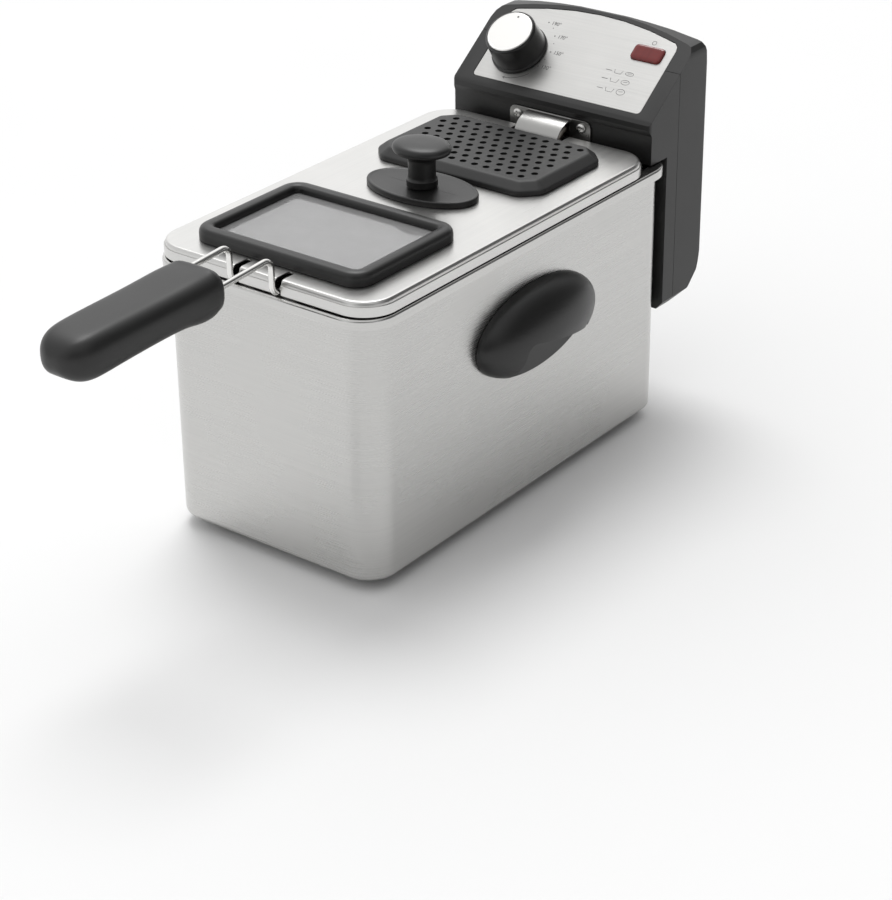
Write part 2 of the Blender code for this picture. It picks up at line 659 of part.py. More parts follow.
def shroud_screw_hole(name, material, sign):
    place = facing((sign * SHROUD_SCREW_X, HEAD_FRONT, RIM_HEIGHT + SHROUD_HIGH - 5.5 * MM), (0, -1, 0))
    return turned(name, material, [(1.9 * MM, -8 * MM), (1.9 * MM, 8 * MM)], place, steps=10)


def element_shroud(finishes):
    """Plated bracket on the head with a quarter-round hood over the element's legs."""
    material = finishes["chrome"]
    back = HEAD_FRONT - FIT
    front = back - SHROUD_WALL
    half_height = (SHROUD_HIGH - SHROUD_LOW) / 2
    middle = RIM_HEIGHT + SHROUD_LOW + half_height
    outline = [(x, middle + z) for x, z in
               rounded_outline(SHROUD_WIDTH / 2, half_height, 5 * MM, steps=3)]
    shroud = prism("element_shroud", material, outline, "y", front, back)
    arc = [math.radians(90 * step / 7) for step in range(8)]
    root = back - SHROUD_WALL / 2
    low = RIM_HEIGHT + SHROUD_HIGH - 0.5 * MM - HOOD_RISE
    outer = [(root - HOOD_REACH * math.sin(a), low + HOOD_RISE * math.cos(a)) for a in arc]
    inner = [(root - (HOOD_REACH - SHROUD_WALL) * math.sin(a),
              low + (HOOD_RISE - SHROUD_WALL) * math.cos(a)) for a in arc]
    combine(shroud, prism("join_hood", material, outer + inner[::-1], "x",
                          -HOOD_WIDTH / 2, HOOD_WIDTH / 2), "UNION")
    half = HOOD_WIDTH / 2 - 2 * MM
    combine(shroud, block("cut_shroud_window", material, (-half, front - 0.5 * MM, LEG_Z - 5.5 * MM),
                          (half, back + 1 * MM, LEG_Z + 5.2 * MM)))
    for side, sign in SIDES:
        combine(shroud, shroud_screw_hole(f"cut_shroud_screw_{side}", material, sign))
    return [shroud]


def shroud_screws(finishes):
    made = []
    for side, sign in SIDES:
        head = HEAD_FRONT - 2 * FIT - SHROUD_WALL
        place = facing((sign * SHROUD_SCREW_X, head, RIM_HEIGHT + SHROUD_HIGH - 5.5 * MM), (0, -1, 0))
        profile = [(1.5 * MM, -7 * MM), (1.5 * MM, 0), (3.7 * MM, 0), (3.5 * MM, 1.1 * MM),
                   (2.0 * MM, 2.0 * MM)]
        made.append(turned(f"shroud_screw_{side}", finishes["chrome"], profile, place, steps=12))
    return made


def leg_line(x, run):
    """From inside the head, out under the hood and down into the tank, then a run."""
    return [(x, HEAD_FRONT + 11 * MM, LEG_Z), (x, LEG_Y, LEG_Z), (x, LEG_Y, ELEMENT_Z), *run]


def heating_element(finishes):
    """One tube: down one leg, four runs along the tank's floor, and up the other leg."""
    outer = TANK_INNER_X - ELEMENT_MARGIN
    near = TANK_INNER_FRONT + 44 * MM
    far = LEG_Y - 26 * MM
    turn = LEG_Y - 61 * MM
    legs = leg_line(-ELEMENT_LEG_X, [(-ELEMENT_LEG_X, far, ELEMENT_Z)])
    half = legs + [(-outer, far, ELEMENT_Z), (-outer, near, ELEMENT_Z),
                   (-ELEMENT_INNER_X, near, ELEMENT_Z), (-ELEMENT_INNER_X, turn, ELEMENT_Z)]
    mirrored = [(-x, y, z) for x, y, z in reversed(half)]
    line = bent(half + mirrored, ELEMENT_BEND)
    return [tube("heating_element", finishes["steel"], line, ELEMENT_RADIUS, sides=6)]


def element_flange(finishes):
    """Plate inside the head that carries the legs and the two capillaries."""
    low = HEAD_FRONT + CONTROL_WALL + FIT
    outline = [(x, LEG_Z + z) for x, z in rounded_outline(24 * MM, 7.5 * MM, 3 * MM, steps=2)]
    plate = prism("element_flange", finishes["steel"], outline, "y", low, low + 2 * MM)
    for side, sign in SIDES:
        for name, x, radius in (("leg", ELEMENT_LEG_X, ELEMENT_RADIUS),
                                ("capillary", SENSOR_LEG_X, CAPILLARY_RADIUS)):
            place = facing((sign * x, low, LEG_Z), (0, 1, 0))
            combine(plate, turned(f"cut_{name}_{side}", finishes["steel"],
                                  [(radius + FIT, -5 * MM), (radius + FIT, 5 * MM)], place, steps=10))
    return [plate]


def sensors(finishes):
    """The thermostat's and the cut-out's bulbs, each on a capillary from the head."""
    made = []
    z = ELEMENT_Z + ELEMENT_RADIUS + SENSOR_RADIUS + 1 * MM
    for name, x in (("thermostat_bulb", SENSOR_LEG_X), ("cutout_bulb", -SENSOR_LEG_X)):
        corner = LEG_Y - 40 * MM
        thin = bent([(x, HEAD_FRONT + 11 * MM, LEG_Z), (x, LEG_Y, LEG_Z), (x, LEG_Y, z),
                     (x, corner, z)], 8 * MM, steps=2)
        bulb = [Vector((x, corner - 2 * MM, z)), Vector((x, corner - SENSOR_LENGTH, z)),
                Vector((x, corner - SENSOR_LENGTH - 2 * MM, z))]
        radii = [CAPILLARY_RADIUS] * len(thin) + [SENSOR_RADIUS, SENSOR_RADIUS, SENSOR_RADIUS / 2]
        made.append(tube(name, finishes["chrome"], thin + bulb, radii, sides=6))
    z -= SENSOR_RADIUS + FIT
    made.append(block("sensor_clip", finishes["steel"],
                      (-ELEMENT_INNER_X + ELEMENT_RADIUS + FIT, LEG_Y - 92 * MM, z - 1 * MM),
                      (ELEMENT_INNER_X - ELEMENT_RADIUS - FIT, LEG_Y - 80 * MM, z)))
    return made


def panel_box(name, material, x, along, size, top):
    """A body hung square under the panel, its top a distance below the panel."""
    outline = [(x + dx * size[0] / 2, along + ds * size[1] / 2)
               for dx, ds in ((-1, -1), (1, -1), (1, 1), (-1, 1))]
    return panel_prism(name, material, outline, top - size[2], top)


def internals(finishes):
    """What the control unit holds: thermostat, cut-out, lamp, terminals and interlock."""
    under = -PANEL_RECESS - CONTROL_WALL - 1 * MM
    thermostat = panel_box("thermostat_body", finishes["ceramic"], DIAL_X, DIAL_S,
                           (34 * MM, 30 * MM, 16 * MM), under)
    combine(thermostat, turned("cut_thermostat_shaft", finishes["ceramic"],
                               [(SHAFT_RADIUS + RUNNING, under - 9 * MM),
                                (SHAFT_RADIUS + RUNNING, 5 * MM)],
                               panel_axis(DIAL_X, DIAL_S), steps=12))
    lamp = panel_box("lamp_body", finishes["ceramic"], LAMP_X, LAMP_S - 4 * MM,
                     (20 * MM, 10 * MM, 11 * MM), under - 1 * MM)
    x, z = RESET_PLACE
    behind = RESET_DEPTH + RESET_TRAVEL + FIT
    cutout = turned("cutout_body", finishes["ceramic"], [(10 * MM, behind), (10 * MM, behind + 16 * MM)],
                    facing((x, CONTROL_BACK, z), (0, -1, 0)), steps=16)
    terminals = block("terminal_block", finishes["ceramic"],
                      (-25 * MM, CONTROL_BACK - 36 * MM, CONTROL_BOTTOM + 40 * MM),
                      (25 * MM, CONTROL_BACK - 18 * MM, CONTROL_BOTTOM + 54 * MM))
    inside = CONTROL_FRONT + CONTROL_WALL + FIT
    interlock = block("interlock_switch", finishes["plastic"],
                      (18 * MM, inside, RIM_HEIGHT - 32 * MM), (38 * MM, inside + 7 * MM, RIM_HEIGHT - 20 * MM))
    return [thermostat, lamp, cutout, terminals, interlock]


def indicator_lens(finishes):
    lens = panel_prism("indicator_lens", finishes["red"], lamp_outline(0), -3 * MM, 1.8 * MM)
    return [lens]


def gland_axis():
    start, run, rise = HEEL
    place = (-45 * MM, CONTROL_BACK - start + run / 2, CONTROL_BOTTOM + rise / 2)
    return facing(place, (0, rise, -run))


def cord_gland(finishes):
    """Moulded strain relief under the unit, bored for a mains lead."""
    bore = 3.2 * MM
    profile = [(bore, -5 * MM), (6 * MM, -5 * MM), (6 * MM, FIT), (9 * MM, FIT), (9 * MM, 2 * MM),
               (5.6 * MM, 3.5 * MM), (4.6 * MM, 16 * MM), (bore, 16 * MM)]
    return [turned("cord_gland", finishes["rubber"], profile, gland_axis(), closed=True, steps=16)]


def rear_screw_places():
    half = CONTROL_WIDTH / 2 - 17 * MM
    return [(x, z) for z in (CONTROL_BOTTOM + 60 * MM, RIM_HEIGHT + 32 * MM) for x in (-half, half)]


def rear_screws(finishes):
    made = []
    for index, (x, z) in enumerate(rear_screw_places()):
        place = facing((x, CONTROL_BACK - 1.8 * MM + FIT, z), (0, 1, 0))
        profile = [(1.5 * MM, -9 * MM), (1.5 * MM, 0), (3.5 * MM, 0), (3.2 * MM, 1.2 * MM)]
        made.append(turned(f"rear_screw_{index + 1}", finishes["chrome"], profile, place, steps=10))
    return made


# ---------------------------------------------------------------- dial and reset button

def dial(finishes):
    """Temperature dial: tapered black knob, bright face, and the thermostat's shaft."""
    axis = panel_axis(DIAL_X, DIAL_S)
    bore = SHAFT_RADIUS + FIT
    seat = DIAL_HEIGHT - 3.2 * MM
    profile = [(bore, DIAL_HEIGHT - 8 * MM), (bore, 0.6 * MM), (DIAL_RADIUS - 0.6 * MM, 0.6 * MM),
               (DIAL_RADIUS, 1.4 * MM), (DIAL_RADIUS - 0.5 * MM, 4 * MM),
               (DIAL_FACE + 1.6 * MM, DIAL_HEIGHT - 1.6 * MM), (DIAL_FACE + 0.9 * MM, DIAL_HEIGHT - 0.6 * MM),
               (DIAL_FACE + FIT, DIAL_HEIGHT - 0.6 * MM), (DIAL_FACE + FIT, seat)]
    knob = turned("dial_knob", finishes["plastic"], profile, axis, steps=28)
    cap = turned("dial_cap", finishes["panel"],
                 [(DIAL_FACE, seat + FIT), (DIAL_FACE, DIAL_HEIGHT - 0.5 * MM),
                  (DIAL_FACE - 0.8 * MM, DIAL_HEIGHT)], axis, steps=28)
    shaft = turned("thermostat_shaft", finishes["steel"],
                   [(SHAFT_RADIUS, -11 * MM), (SHAFT_RADIUS, DIAL_HEIGHT - 8 * MM - FIT)], axis, steps=12)
    return [knob, cap, shaft]


def reset_axis():
    return facing((RESET_PLACE[0], CONTROL_BACK, RESET_PLACE[1]), (0, 1, 0))


def reset_button(finishes):
    """Cut-out reset on the unit's back; its crown stays inside the unit's outline."""
    profile = [(RESET_RADIUS + 1.2 * MM, -RESET_DEPTH), (RESET_RADIUS + 1.2 * MM, -CONTROL_WALL - RESET_PROUD),
               (RESET_RADIUS, -CONTROL_WALL - RESET_PROUD), (RESET_RADIUS, -0.7 * MM),
               (RESET_RADIUS - 0.5 * MM, -FIT)]
    return [turned("reset_button", finishes["red"], profile, reset_axis(), steps=14)]


# ---------------------------------------------------------------- basket and handle

def basket(finishes):
    """Mesh basket as a thin open box, its rim wire, two hoops and the handle bracket."""
    half = (BASKET_HALF_X, BASKET_HALF_Y)
    top, low, wall, taper = BASKET_TOP, BASKET_FLOOR, BASKET_WALL, BASKET_TAPER
    profile = [(-taper - 9 * MM, low), (-taper - 2 * MM, low + 2 * MM), (-taper, low + 8 * MM),
               (0, top), (-wall, top), (-taper - wall, low + 8.4 * MM),
               (-taper - 2.6 * MM, low + 3.2 * MM), (-taper - 9.3 * MM, low + wall)]
    mesh = walled("basket_mesh", finishes["chrome"], half, BASKET_CORNER, BASKET_MID, profile)
    centre = FIT + RIM_WIRE
    ring = [(centre + RIM_WIRE * math.cos(turn), top - FIT - RIM_WIRE + RIM_WIRE * math.sin(turn))
            for turn in (2 * math.pi * step / 6 for step in range(6))]
    rim = walled("basket_rim_wire", finishes["chrome"], half, BASKET_CORNER, BASKET_MID, ring,
                 closed=True)
    made = [mesh, rim]
    hoop_top = top - 3 * FIT - 2 * RIM_WIRE - HOOP_WIRE
    side_x = BASKET_HALF_X + FIT + HOOP_WIRE
    bottom = low - FIT - HOOP_WIRE
    for end, y in (("front", BASKET_MID - BASKET_HALF_Y / 2), ("rear", BASKET_MID + BASKET_HALF_Y / 2)):
        line = bent([(-side_x, y, hoop_top), (-side_x, y, bottom), (side_x, y, bottom),
                     (side_x, y, hoop_top)], 6 * MM)
        made.append(tube(f"basket_hoop_{end}", finishes["chrome"], line, HOOP_WIRE, sides=6))
    return made + basket_bracket(finishes)


def basket_bracket(finishes):
    """Welded plate on the rim with a socket for each handle wire."""
    material = finishes["steel"]
    top = BASKET_TOP + 10 * MM
    low = top - SOCKET_DEPTH - 8 * MM
    back = BRACKET_BACK
    bracket = block("basket_bracket", material, (-HANDLE_WIRE_X - 8 * MM, back - 1.2 * MM, low),
                    (HANDLE_WIRE_X + 8 * MM, back, top))
    for side, sign in SIDES:
        x = sign * HANDLE_WIRE_X
        combine(bracket, block(f"join_socket_{side}", material,
                               (x - SOCKET_REACH, SOCKET_Y - SOCKET_REACH, top - SOCKET_DEPTH - 2 * MM),
                               (x + SOCKET_REACH, back - 0.6 * MM, top - 2 * MM)), "UNION")
        combine(bracket, turned(f"cut_socket_{side}", material,
                                [(HANDLE_WIRE + FIT, low - 10 * MM), (HANDLE_WIRE + FIT, top + 10 * MM)],
                                at(x, SOCKET_Y, 0), steps=10))
    return [bracket]


def grip_section(width, height, centre_z, y, roundness=2.6, steps=20):
    """One superellipse across the grip."""
    points = []
    for step in range(steps):
        angle = 2 * math.pi * (step + 0.5) / steps
        cosine, sine = math.cos(angle), math.sin(angle)
        points.append((width / 2 * math.copysign(abs(cosine) ** (2 / roundness), cosine), y,
                       centre_z + height / 2 * math.copysign(abs(sine) ** (2 / roundness), sine)))
    return points


def wire_line(x):
    """One handle wire: out of the grip, over a hump, down, back over the rim and down."""
    hump = RIM_HEIGHT + 30 * MM
    over = RIM_HEIGHT + HANDLE_WIRE + 0.6 * MM
    return bent([(x, SHELL_FRONT - GRIP_GAP - WIRE_IN_GRIP, hump - 6.5 * MM),
                 (x, SHELL_FRONT - 13 * MM, hump), (x, SHELL_FRONT - 7 * MM, over),
                 (x, SOCKET_Y, over), (x, SOCKET_Y, BASKET_TOP + 8 * MM - SOCKET_DEPTH)],
                HANDLE_WIRE_BEND)


def basket_handle(finishes):
    """Black grip on two bent wires that plug into the basket's bracket."""
    back = SHELL_FRONT - GRIP_GAP
    tip = SHELL_FRONT - HANDLE_REACH
    length = back - tip
    # (share of the length from the shell end, width share, height share, drop)
    form = [(0.0, 0.60, 0.50, 0), (0.012, 0.86, 0.80, 0), (0.05, 1.03, 1.0, 0.3 * MM),
            (0.10, 1.06, 1.06, 0.8 * MM), (0.22, 1.04, 0.98, 0), (0.5, 1.0, 0.96, 0),
            (0.85, 0.99, 1.03, 0.5 * MM), (0.93, 0.93, 0.97, 0.8 * MM), (0.98, 0.72, 0.74, 0.8 * MM),
            (1.0, 0.38, 0.40, 0.8 * MM)]
    loops = [grip_section(GRIP_WIDTH * wide, GRIP_HEIGHT * high,
                          GRIP_Z - GRIP_DROOP * share - drop, back - length * share)
             for share, wide, high, drop in form]
    grip = loft("handle_grip", finishes["plastic"], loops)
    made = [grip]
    for side, sign in SIDES:
        line = wire_line(sign * HANDLE_WIRE_X)
        made.append(tube(f"handle_wire_{side}", finishes["chrome"], line, HANDLE_WIRE, sides=8))
        ahead = (line[1] - line[0]).normalized()
        bore = [line[0] - ahead * 1 * MM, line[0] + ahead * (WIRE_IN_GRIP + 12 * MM)]
        combine(grip, tube(f"cut_grip_{side}", finishes["plastic"], bore, HANDLE_WIRE + FIT, sides=10))
    screw_y = back - 18 * MM
    screw = turned("grip_screw", finishes["chrome"], [(3 * MM, -1.5 * MM), (3 * MM, 0), (1.4 * MM, 0),
                                                      (1.4 * MM, 9 * MM)],
                   at(0, screw_y, GRIP_Z - GRIP_HEIGHT / 2 + 3 * MM), steps=12)
    combine(grip, turned("cut_grip_screw", finishes["plastic"],
                         [(3.4 * MM, -9 * MM), (3.4 * MM, FIT), (1.8 * MM, FIT), (1.8 * MM, 9.5 * MM)],
                         at(0, screw_y, GRIP_Z - GRIP_HEIGHT / 2 + 3 * MM), steps=12))
    return made + [screw]


# ---------------------------------------------------------------- lid

def window_tool(name, material, margin):
    """Cutter for the window opening, inside the frame's outer edge by a margin."""
    return walled(name, material, (WINDOW_WIDTH / 2 - margin, WINDOW_LENGTH / 2 - margin),
                  WINDOW_CORNER - margin, WINDOW_MID,
                  [(0, RIM_HEIGHT - 5 * MM), (0, LID_TOP + WINDOW_HEIGHT)])


def filter_tool(name, material):
    half_x = FILTER_WIDTH / 2 - FILTER_OPENING_MARGIN
    half_y = FILTER_LENGTH / 2 - FILTER_OPENING_MARGIN
    return block(name, material, (-half_x, FILTER_MID - half_y, RIM_HEIGHT - 5 * MM),
                 (half_x, FILTER_MID + half_y, LID_TOP + FILTER_HEIGHT))


def knob_hole(name, material):
    return turned(name, material, [(KNOB_SCREW + FIT, RIM_HEIGHT), (KNOB_SCREW + FIT, LID_TOP + 10 * MM)],
                  at(0, KNOB_Y, 0), steps=10)


def lid_panel(finishes):
    """Brushed steel lid with a rolled skirt, cut for window, filter, wires and shroud."""
    steel = finishes["steel"]
    mid = (LID_FRONT + LID_BACK) / 2
    half = (SHELL_WIDTH / 2 + LID_OVERHANG, (LID_BACK - LID_FRONT) / 2)
    top, low, wall = LID_TOP, LID_BOTTOM, LID_WALL
    profile = [(-3.5 * MM, top - wall), (-0.3 * MM - wall, top - 2.9 * MM), (-wall, low), (0, low),
               (0, top - 2.8 * MM), (-1.0 * MM, top - 0.8 * MM), (-3.5 * MM, top)]
    panel = walled("lid_panel", steel, half, LID_CORNER, mid, profile)
    combine(panel, window_tool("cut_window", steel, WINDOW_BAR - 1 * MM))
    combine(panel, filter_tool("cut_filter", steel))
    combine(panel, knob_hole("cut_knob", steel))
    for side, sign in SIDES:
        x = sign * HANDLE_WIRE_X
        combine(panel, block(f"cut_slot_{side}", steel,
                             (x - SLOT_WIDTH / 2, LID_FRONT - 5 * MM, RIM_HEIGHT),
                             (x + SLOT_WIDTH / 2, LID_FRONT + SLOT_LENGTH, LID_TOP + 5 * MM)))
    half_notch = HOOD_WIDTH / 2 + NOTCH_CLEARANCE
    notch_front = HEAD_FRONT - FIT - SHROUD_WALL / 2 - HOOD_REACH - NOTCH_CLEARANCE
    combine(panel, block("cut_notch", steel, (-half_notch, notch_front, RIM_HEIGHT),
                         (half_notch, LID_BACK + 5 * MM, LID_TOP + 5 * MM)))
    return [panel]


def lid_liner(finishes):
    """Inner plate that stiffens the lid, behind the handle wires and before the shroud."""
    steel = finishes["steel"]
    front = SOCKET_Y + HANDLE_WIRE + 6 * MM
    back = HEAD_FRONT - FIT - SHROUD_WALL - HOOD_REACH - NOTCH_CLEARANCE - 2 * MM
    outline = rounded_outline(TANK_INNER_X, (back - front) / 2, 12 * MM, steps=3)
    liner = prism("lid_liner", steel, [(x, (front + back) / 2 + y) for x, y in outline], "z",
                  LINER_TOP - LINER_WALL, LINER_TOP)
    combine(liner, window_tool("cut_liner_window", steel, WINDOW_BAR - 1 * MM))
    combine(liner, filter_tool("cut_liner_filter", steel))
    combine(liner, knob_hole("cut_liner_knob", steel))
    return [liner]


def window(finishes):
    """Plastic frame, glass pane under its ledge, and the seal in the lid's opening."""
    half = (WINDOW_WIDTH / 2, WINDOW_LENGTH / 2)
    low, top = LID_TOP + FIT, LID_TOP + WINDOW_HEIGHT
    pane_low = low + 0.4 * MM
    ledge_z = pane_low + PANE_THICKNESS + FIT
    inner, rebate = -WINDOW_BAR, -WINDOW_BAR + PANE_LEDGE
    profile = [(0, low), (0, top - 4 * MM), (-1.2 * MM, top - 1.2 * MM), (-3.5 * MM, top),
               (inner + 2 * MM, top), (inner, top - 2 * MM), (inner, ledge_z), (rebate, ledge_z),
               (rebate, low)]
    frame = walled("window_frame", finishes["plastic"], half, WINDOW_CORNER, WINDOW_MID, profile,
                   closed=True)
    pane = walled("window_pane", finishes["glass"], half, WINDOW_CORNER, WINDOW_MID,
                  [(rebate - FIT, pane_low), (rebate - FIT, pane_low + PANE_THICKNESS)])
    opening = 1 * MM - WINDOW_BAR
    seal_top = pane_low - FIT
    seal = walled("window_seal", finishes["rubber"], half, WINDOW_CORNER, WINDOW_MID,
                  [(opening - FIT, seal_top - 3.2 * MM), (opening - FIT, seal_top),
                   (opening - 3 * MM, seal_top), (opening - 3 * MM, seal_top - 3.2 * MM)], closed=True)
    return [frame, pane, seal]


def knob(finishes):
    """Oval base, waisted oval knob, and the screw that holds both from below."""
    plastic = finishes["plastic"]
    half_x, half_y = KNOB_BASE
    low = LID_TOP + FIT
    top = low + KNOB_BASE_HEIGHT
    hole = KNOB_SCREW + FIT
    place = at(0, KNOB_Y, 0)
    base = stacked("knob_base", plastic,
                   [(hole, hole, low), (half_x, half_y, low), (half_x, half_y, low + 1.6 * MM),
                    (half_x - 2 * MM, half_y - 2 * MM, top - 0.8 * MM),
                    (half_x - 9 * MM, half_y - 7 * MM, top), (hole, hole, top)],
                   place, closed=True, steps=28)
    cap_x, cap_y = KNOB_CAP
    crown = LID_TOP + KNOB_RISE
    stem = KNOB_STEM
    knob_low = top + FIT
    sections = [(hole, hole, knob_low + 14 * MM), (hole, hole, knob_low),
                (stem + 1.5 * MM, stem + 1.5 * MM, knob_low), (stem, stem, knob_low + 3 * MM),
                (stem, stem, crown - 15 * MM), (cap_x * 0.72, cap_y * 0.72, crown - 11.5 * MM),
                (cap_x * 0.97, cap_y * 0.97, crown - 8 * MM), (cap_x, cap_y, crown - 5 * MM),
                (cap_x * 0.94, cap_y * 0.94, crown - 2 * MM), (cap_x * 0.75, cap_y * 0.75, crown)]
    handle = stacked("lid_knob", plastic, sections, place, steps=24)
    under = LINER_TOP - LINER_WALL - FIT
    screw = turned("knob_screw", finishes["chrome"],
                   [(4 * MM, under - 2.4 * MM), (4 * MM, under), (KNOB_SCREW, under),
                    (KNOB_SCREW, knob_low + 13 * MM)], place, steps=12)
    return [base, handle, screw]


def vent_holes(name, material):
    """Staggered grid of vents through the filter cover."""
    bm = bmesh.new()
    pitch_x = (FILTER_WIDTH - 30 * MM) / (FILTER_COLUMNS - 0.5)
    pitch_y = (FILTER_LENGTH - 30 * MM) / (FILTER_ROWS - 1)
    for row in range(FILTER_ROWS):
        for column in range(FILTER_COLUMNS):
            x = (column + 0.5 * (row % 2) - (FILTER_COLUMNS - 0.5) / 2) * pitch_x
            y = FILTER_MID + (row - (FILTER_ROWS - 1) / 2) * pitch_y
            rings = [[bm.verts.new((x + FILTER_HOLE * math.cos(turn), y + FILTER_HOLE * math.sin(turn), z))
                      for turn in (math.pi / 2 * quarter for quarter in range(4))]
                     for z in (LID_TOP + 1 * MM, LID_TOP + 2 * FILTER_HEIGHT)]
            bm.faces.new(rings[0])
            bm.faces.new(rings[1])
            for here in range(4):
                there = (here + 1) % 4
                bm.faces.new((rings[0][here], rings[0][there], rings[1][there], rings[1][here]))
    return finished(name, material, bm)


def filter_parts(finishes):
    """Vented plastic cover with sloping edges, and the grease filter under it."""
    low = LID_TOP + FIT
    top = LID_TOP + FILTER_HEIGHT
    wall = FILTER_WALL
    profile = [(-9.5 * MM, top - wall), (-wall - 0.6 * MM, low + 1.6 * MM), (-wall, low), (0, low),
               (0, low + 2 * MM), (-5.5 * MM, top - 1.2 * MM), (-9 * MM, top)]
    cover = walled("filter_cover", finishes["plastic"], (FILTER_WIDTH / 2, FILTER_LENGTH / 2),
                   FILTER_CORNER, FILTER_MID, profile, steps=1)
    combine(cover, vent_holes("cut_vents", finishes["plastic"]))
    half_x = FILTER_WIDTH / 2 - FILTER_OPENING_MARGIN - FIT
    half_y = FILTER_LENGTH / 2 - FILTER_OPENING_MARGIN - FIT
    pad = block("grease_filter", finishes["filter"], (-half_x, FILTER_MID - half_y, LINER_TOP - LINER_WALL),
                (half_x, FILTER_MID + half_y, LID_TOP))
    return [cover, pad]


# ---------------------------------------------------------------- assembly

def joint_empty(name, place, parent):
    """An empty on a joint's axis that carries one moving body."""
    empty = bpy.data.objects.new(name, None)
    empty.empty_display_size = 20 * MM
    bpy.context.scene.collection.objects.link(empty)
    empty.location = place
    attach([empty], parent)
    return empty


def attach(pieces, parent):
    """Parent pieces to an empty and leave them where they stand."""
    for piece in pieces:
        piece.parent = parent
        bpy.context.view_layer.update()
        piece.matrix_parent_inverse = parent.matrix_world.inverted() if parent else Matrix()


def build():
    clear_scene()
    finishes = make_finishes()
    housing = joint_empty("housing_frame", (0, 0, 0), None)
    tank = joint_empty("tank_lift", (0, SHELL_MID, RIM_HEIGHT), housing)
    control = joint_empty("control_lift", (0, CONTROL_FRONT, RIM_HEIGHT), tank)
    basket_frame = joint_empty("basket_lift", (0, BASKET_MID, BASKET_TOP), control)
    lid = joint_empty("lid_lift", (0, KNOB_Y, LID_TOP), basket_frame)
    handle = joint_empty("handle_detach", (0, SOCKET_Y, BASKET_TOP), basket_frame)
    dial_turn = joint_empty("dial_turn", on_panel(DIAL_X, DIAL_S, 0), control)
    reset = joint_empty("reset_press", (RESET_PLACE[0], CONTROL_BACK, RESET_PLACE[1]), control)
    makers = {
        housing: (outer_shell, base_plate, feet, side_handles, control_guide),
        tank: (oil_tank,),
        control: (control_casing, faceplate, element_shroud, shroud_screws, heating_element,
                  element_flange, sensors, internals, indicator_lens, cord_gland, rear_screws),
        basket_frame: (basket,),
        lid: (lid_panel, lid_liner, window, knob, filter_parts),
        handle: (basket_handle,),
        dial_turn: (dial,),
        reset: (reset_button,),
    }
    for frame, functions in makers.items():
        for maker in functions:
            attach(maker(finishes), frame)


build()
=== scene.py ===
"""Deep fryer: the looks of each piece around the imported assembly, in the order it goes together."""
import math

import bmesh
import bpy
from mathutils import Matrix, Vector


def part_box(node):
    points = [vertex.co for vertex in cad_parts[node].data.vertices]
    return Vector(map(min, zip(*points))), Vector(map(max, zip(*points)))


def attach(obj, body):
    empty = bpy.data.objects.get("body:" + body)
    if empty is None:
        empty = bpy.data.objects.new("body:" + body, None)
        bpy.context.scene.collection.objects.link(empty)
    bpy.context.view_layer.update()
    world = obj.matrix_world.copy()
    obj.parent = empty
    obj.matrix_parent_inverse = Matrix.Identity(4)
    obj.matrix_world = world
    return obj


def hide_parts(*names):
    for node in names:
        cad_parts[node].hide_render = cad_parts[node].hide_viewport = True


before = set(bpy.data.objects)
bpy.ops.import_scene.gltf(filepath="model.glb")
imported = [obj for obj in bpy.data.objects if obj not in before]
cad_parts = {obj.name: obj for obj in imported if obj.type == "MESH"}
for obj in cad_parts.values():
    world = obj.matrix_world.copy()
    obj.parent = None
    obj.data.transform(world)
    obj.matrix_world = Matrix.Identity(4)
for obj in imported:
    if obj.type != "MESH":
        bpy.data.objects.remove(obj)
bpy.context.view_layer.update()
MM = 0.001


# ---------------------------------------------------------------- outer shell
# One brushed steel sheet wrapped to a sleeve, its grain running round it, with the bottom
# edge turned in. Steel 1 mm thick, corners of 22 mm; it stands on the base plate's feet.

class Reading:
    """A number that a node gives; arithmetic on it adds Math nodes."""

    def __init__(self, finish, socket):
        self.finish, self.socket = finish, socket

    def maths(self, operation, first, second):
        return self.finish.node("ShaderNodeMath", {"operation": operation}, {0: first, 1: second})

    def __add__(self, other):
        return self.maths("ADD", self, other)

    def __sub__(self, other):
        return self.maths("SUBTRACT", self, other)

    def __rsub__(self, other):
        return self.maths("SUBTRACT", other, self)

    def __mul__(self, other):
        return self.maths("MULTIPLY", self, other)

    __radd__ = __add__
    __rmul__ = __mul__

    def rise(self, low, high):
        """0 below one value, 1 above another, and smooth between them."""
        return self.finish.node("ShaderNodeMapRange", {"interpolation_type": "SMOOTHSTEP"},
                                {"Value": self, "From Min": low, "From Max": high})


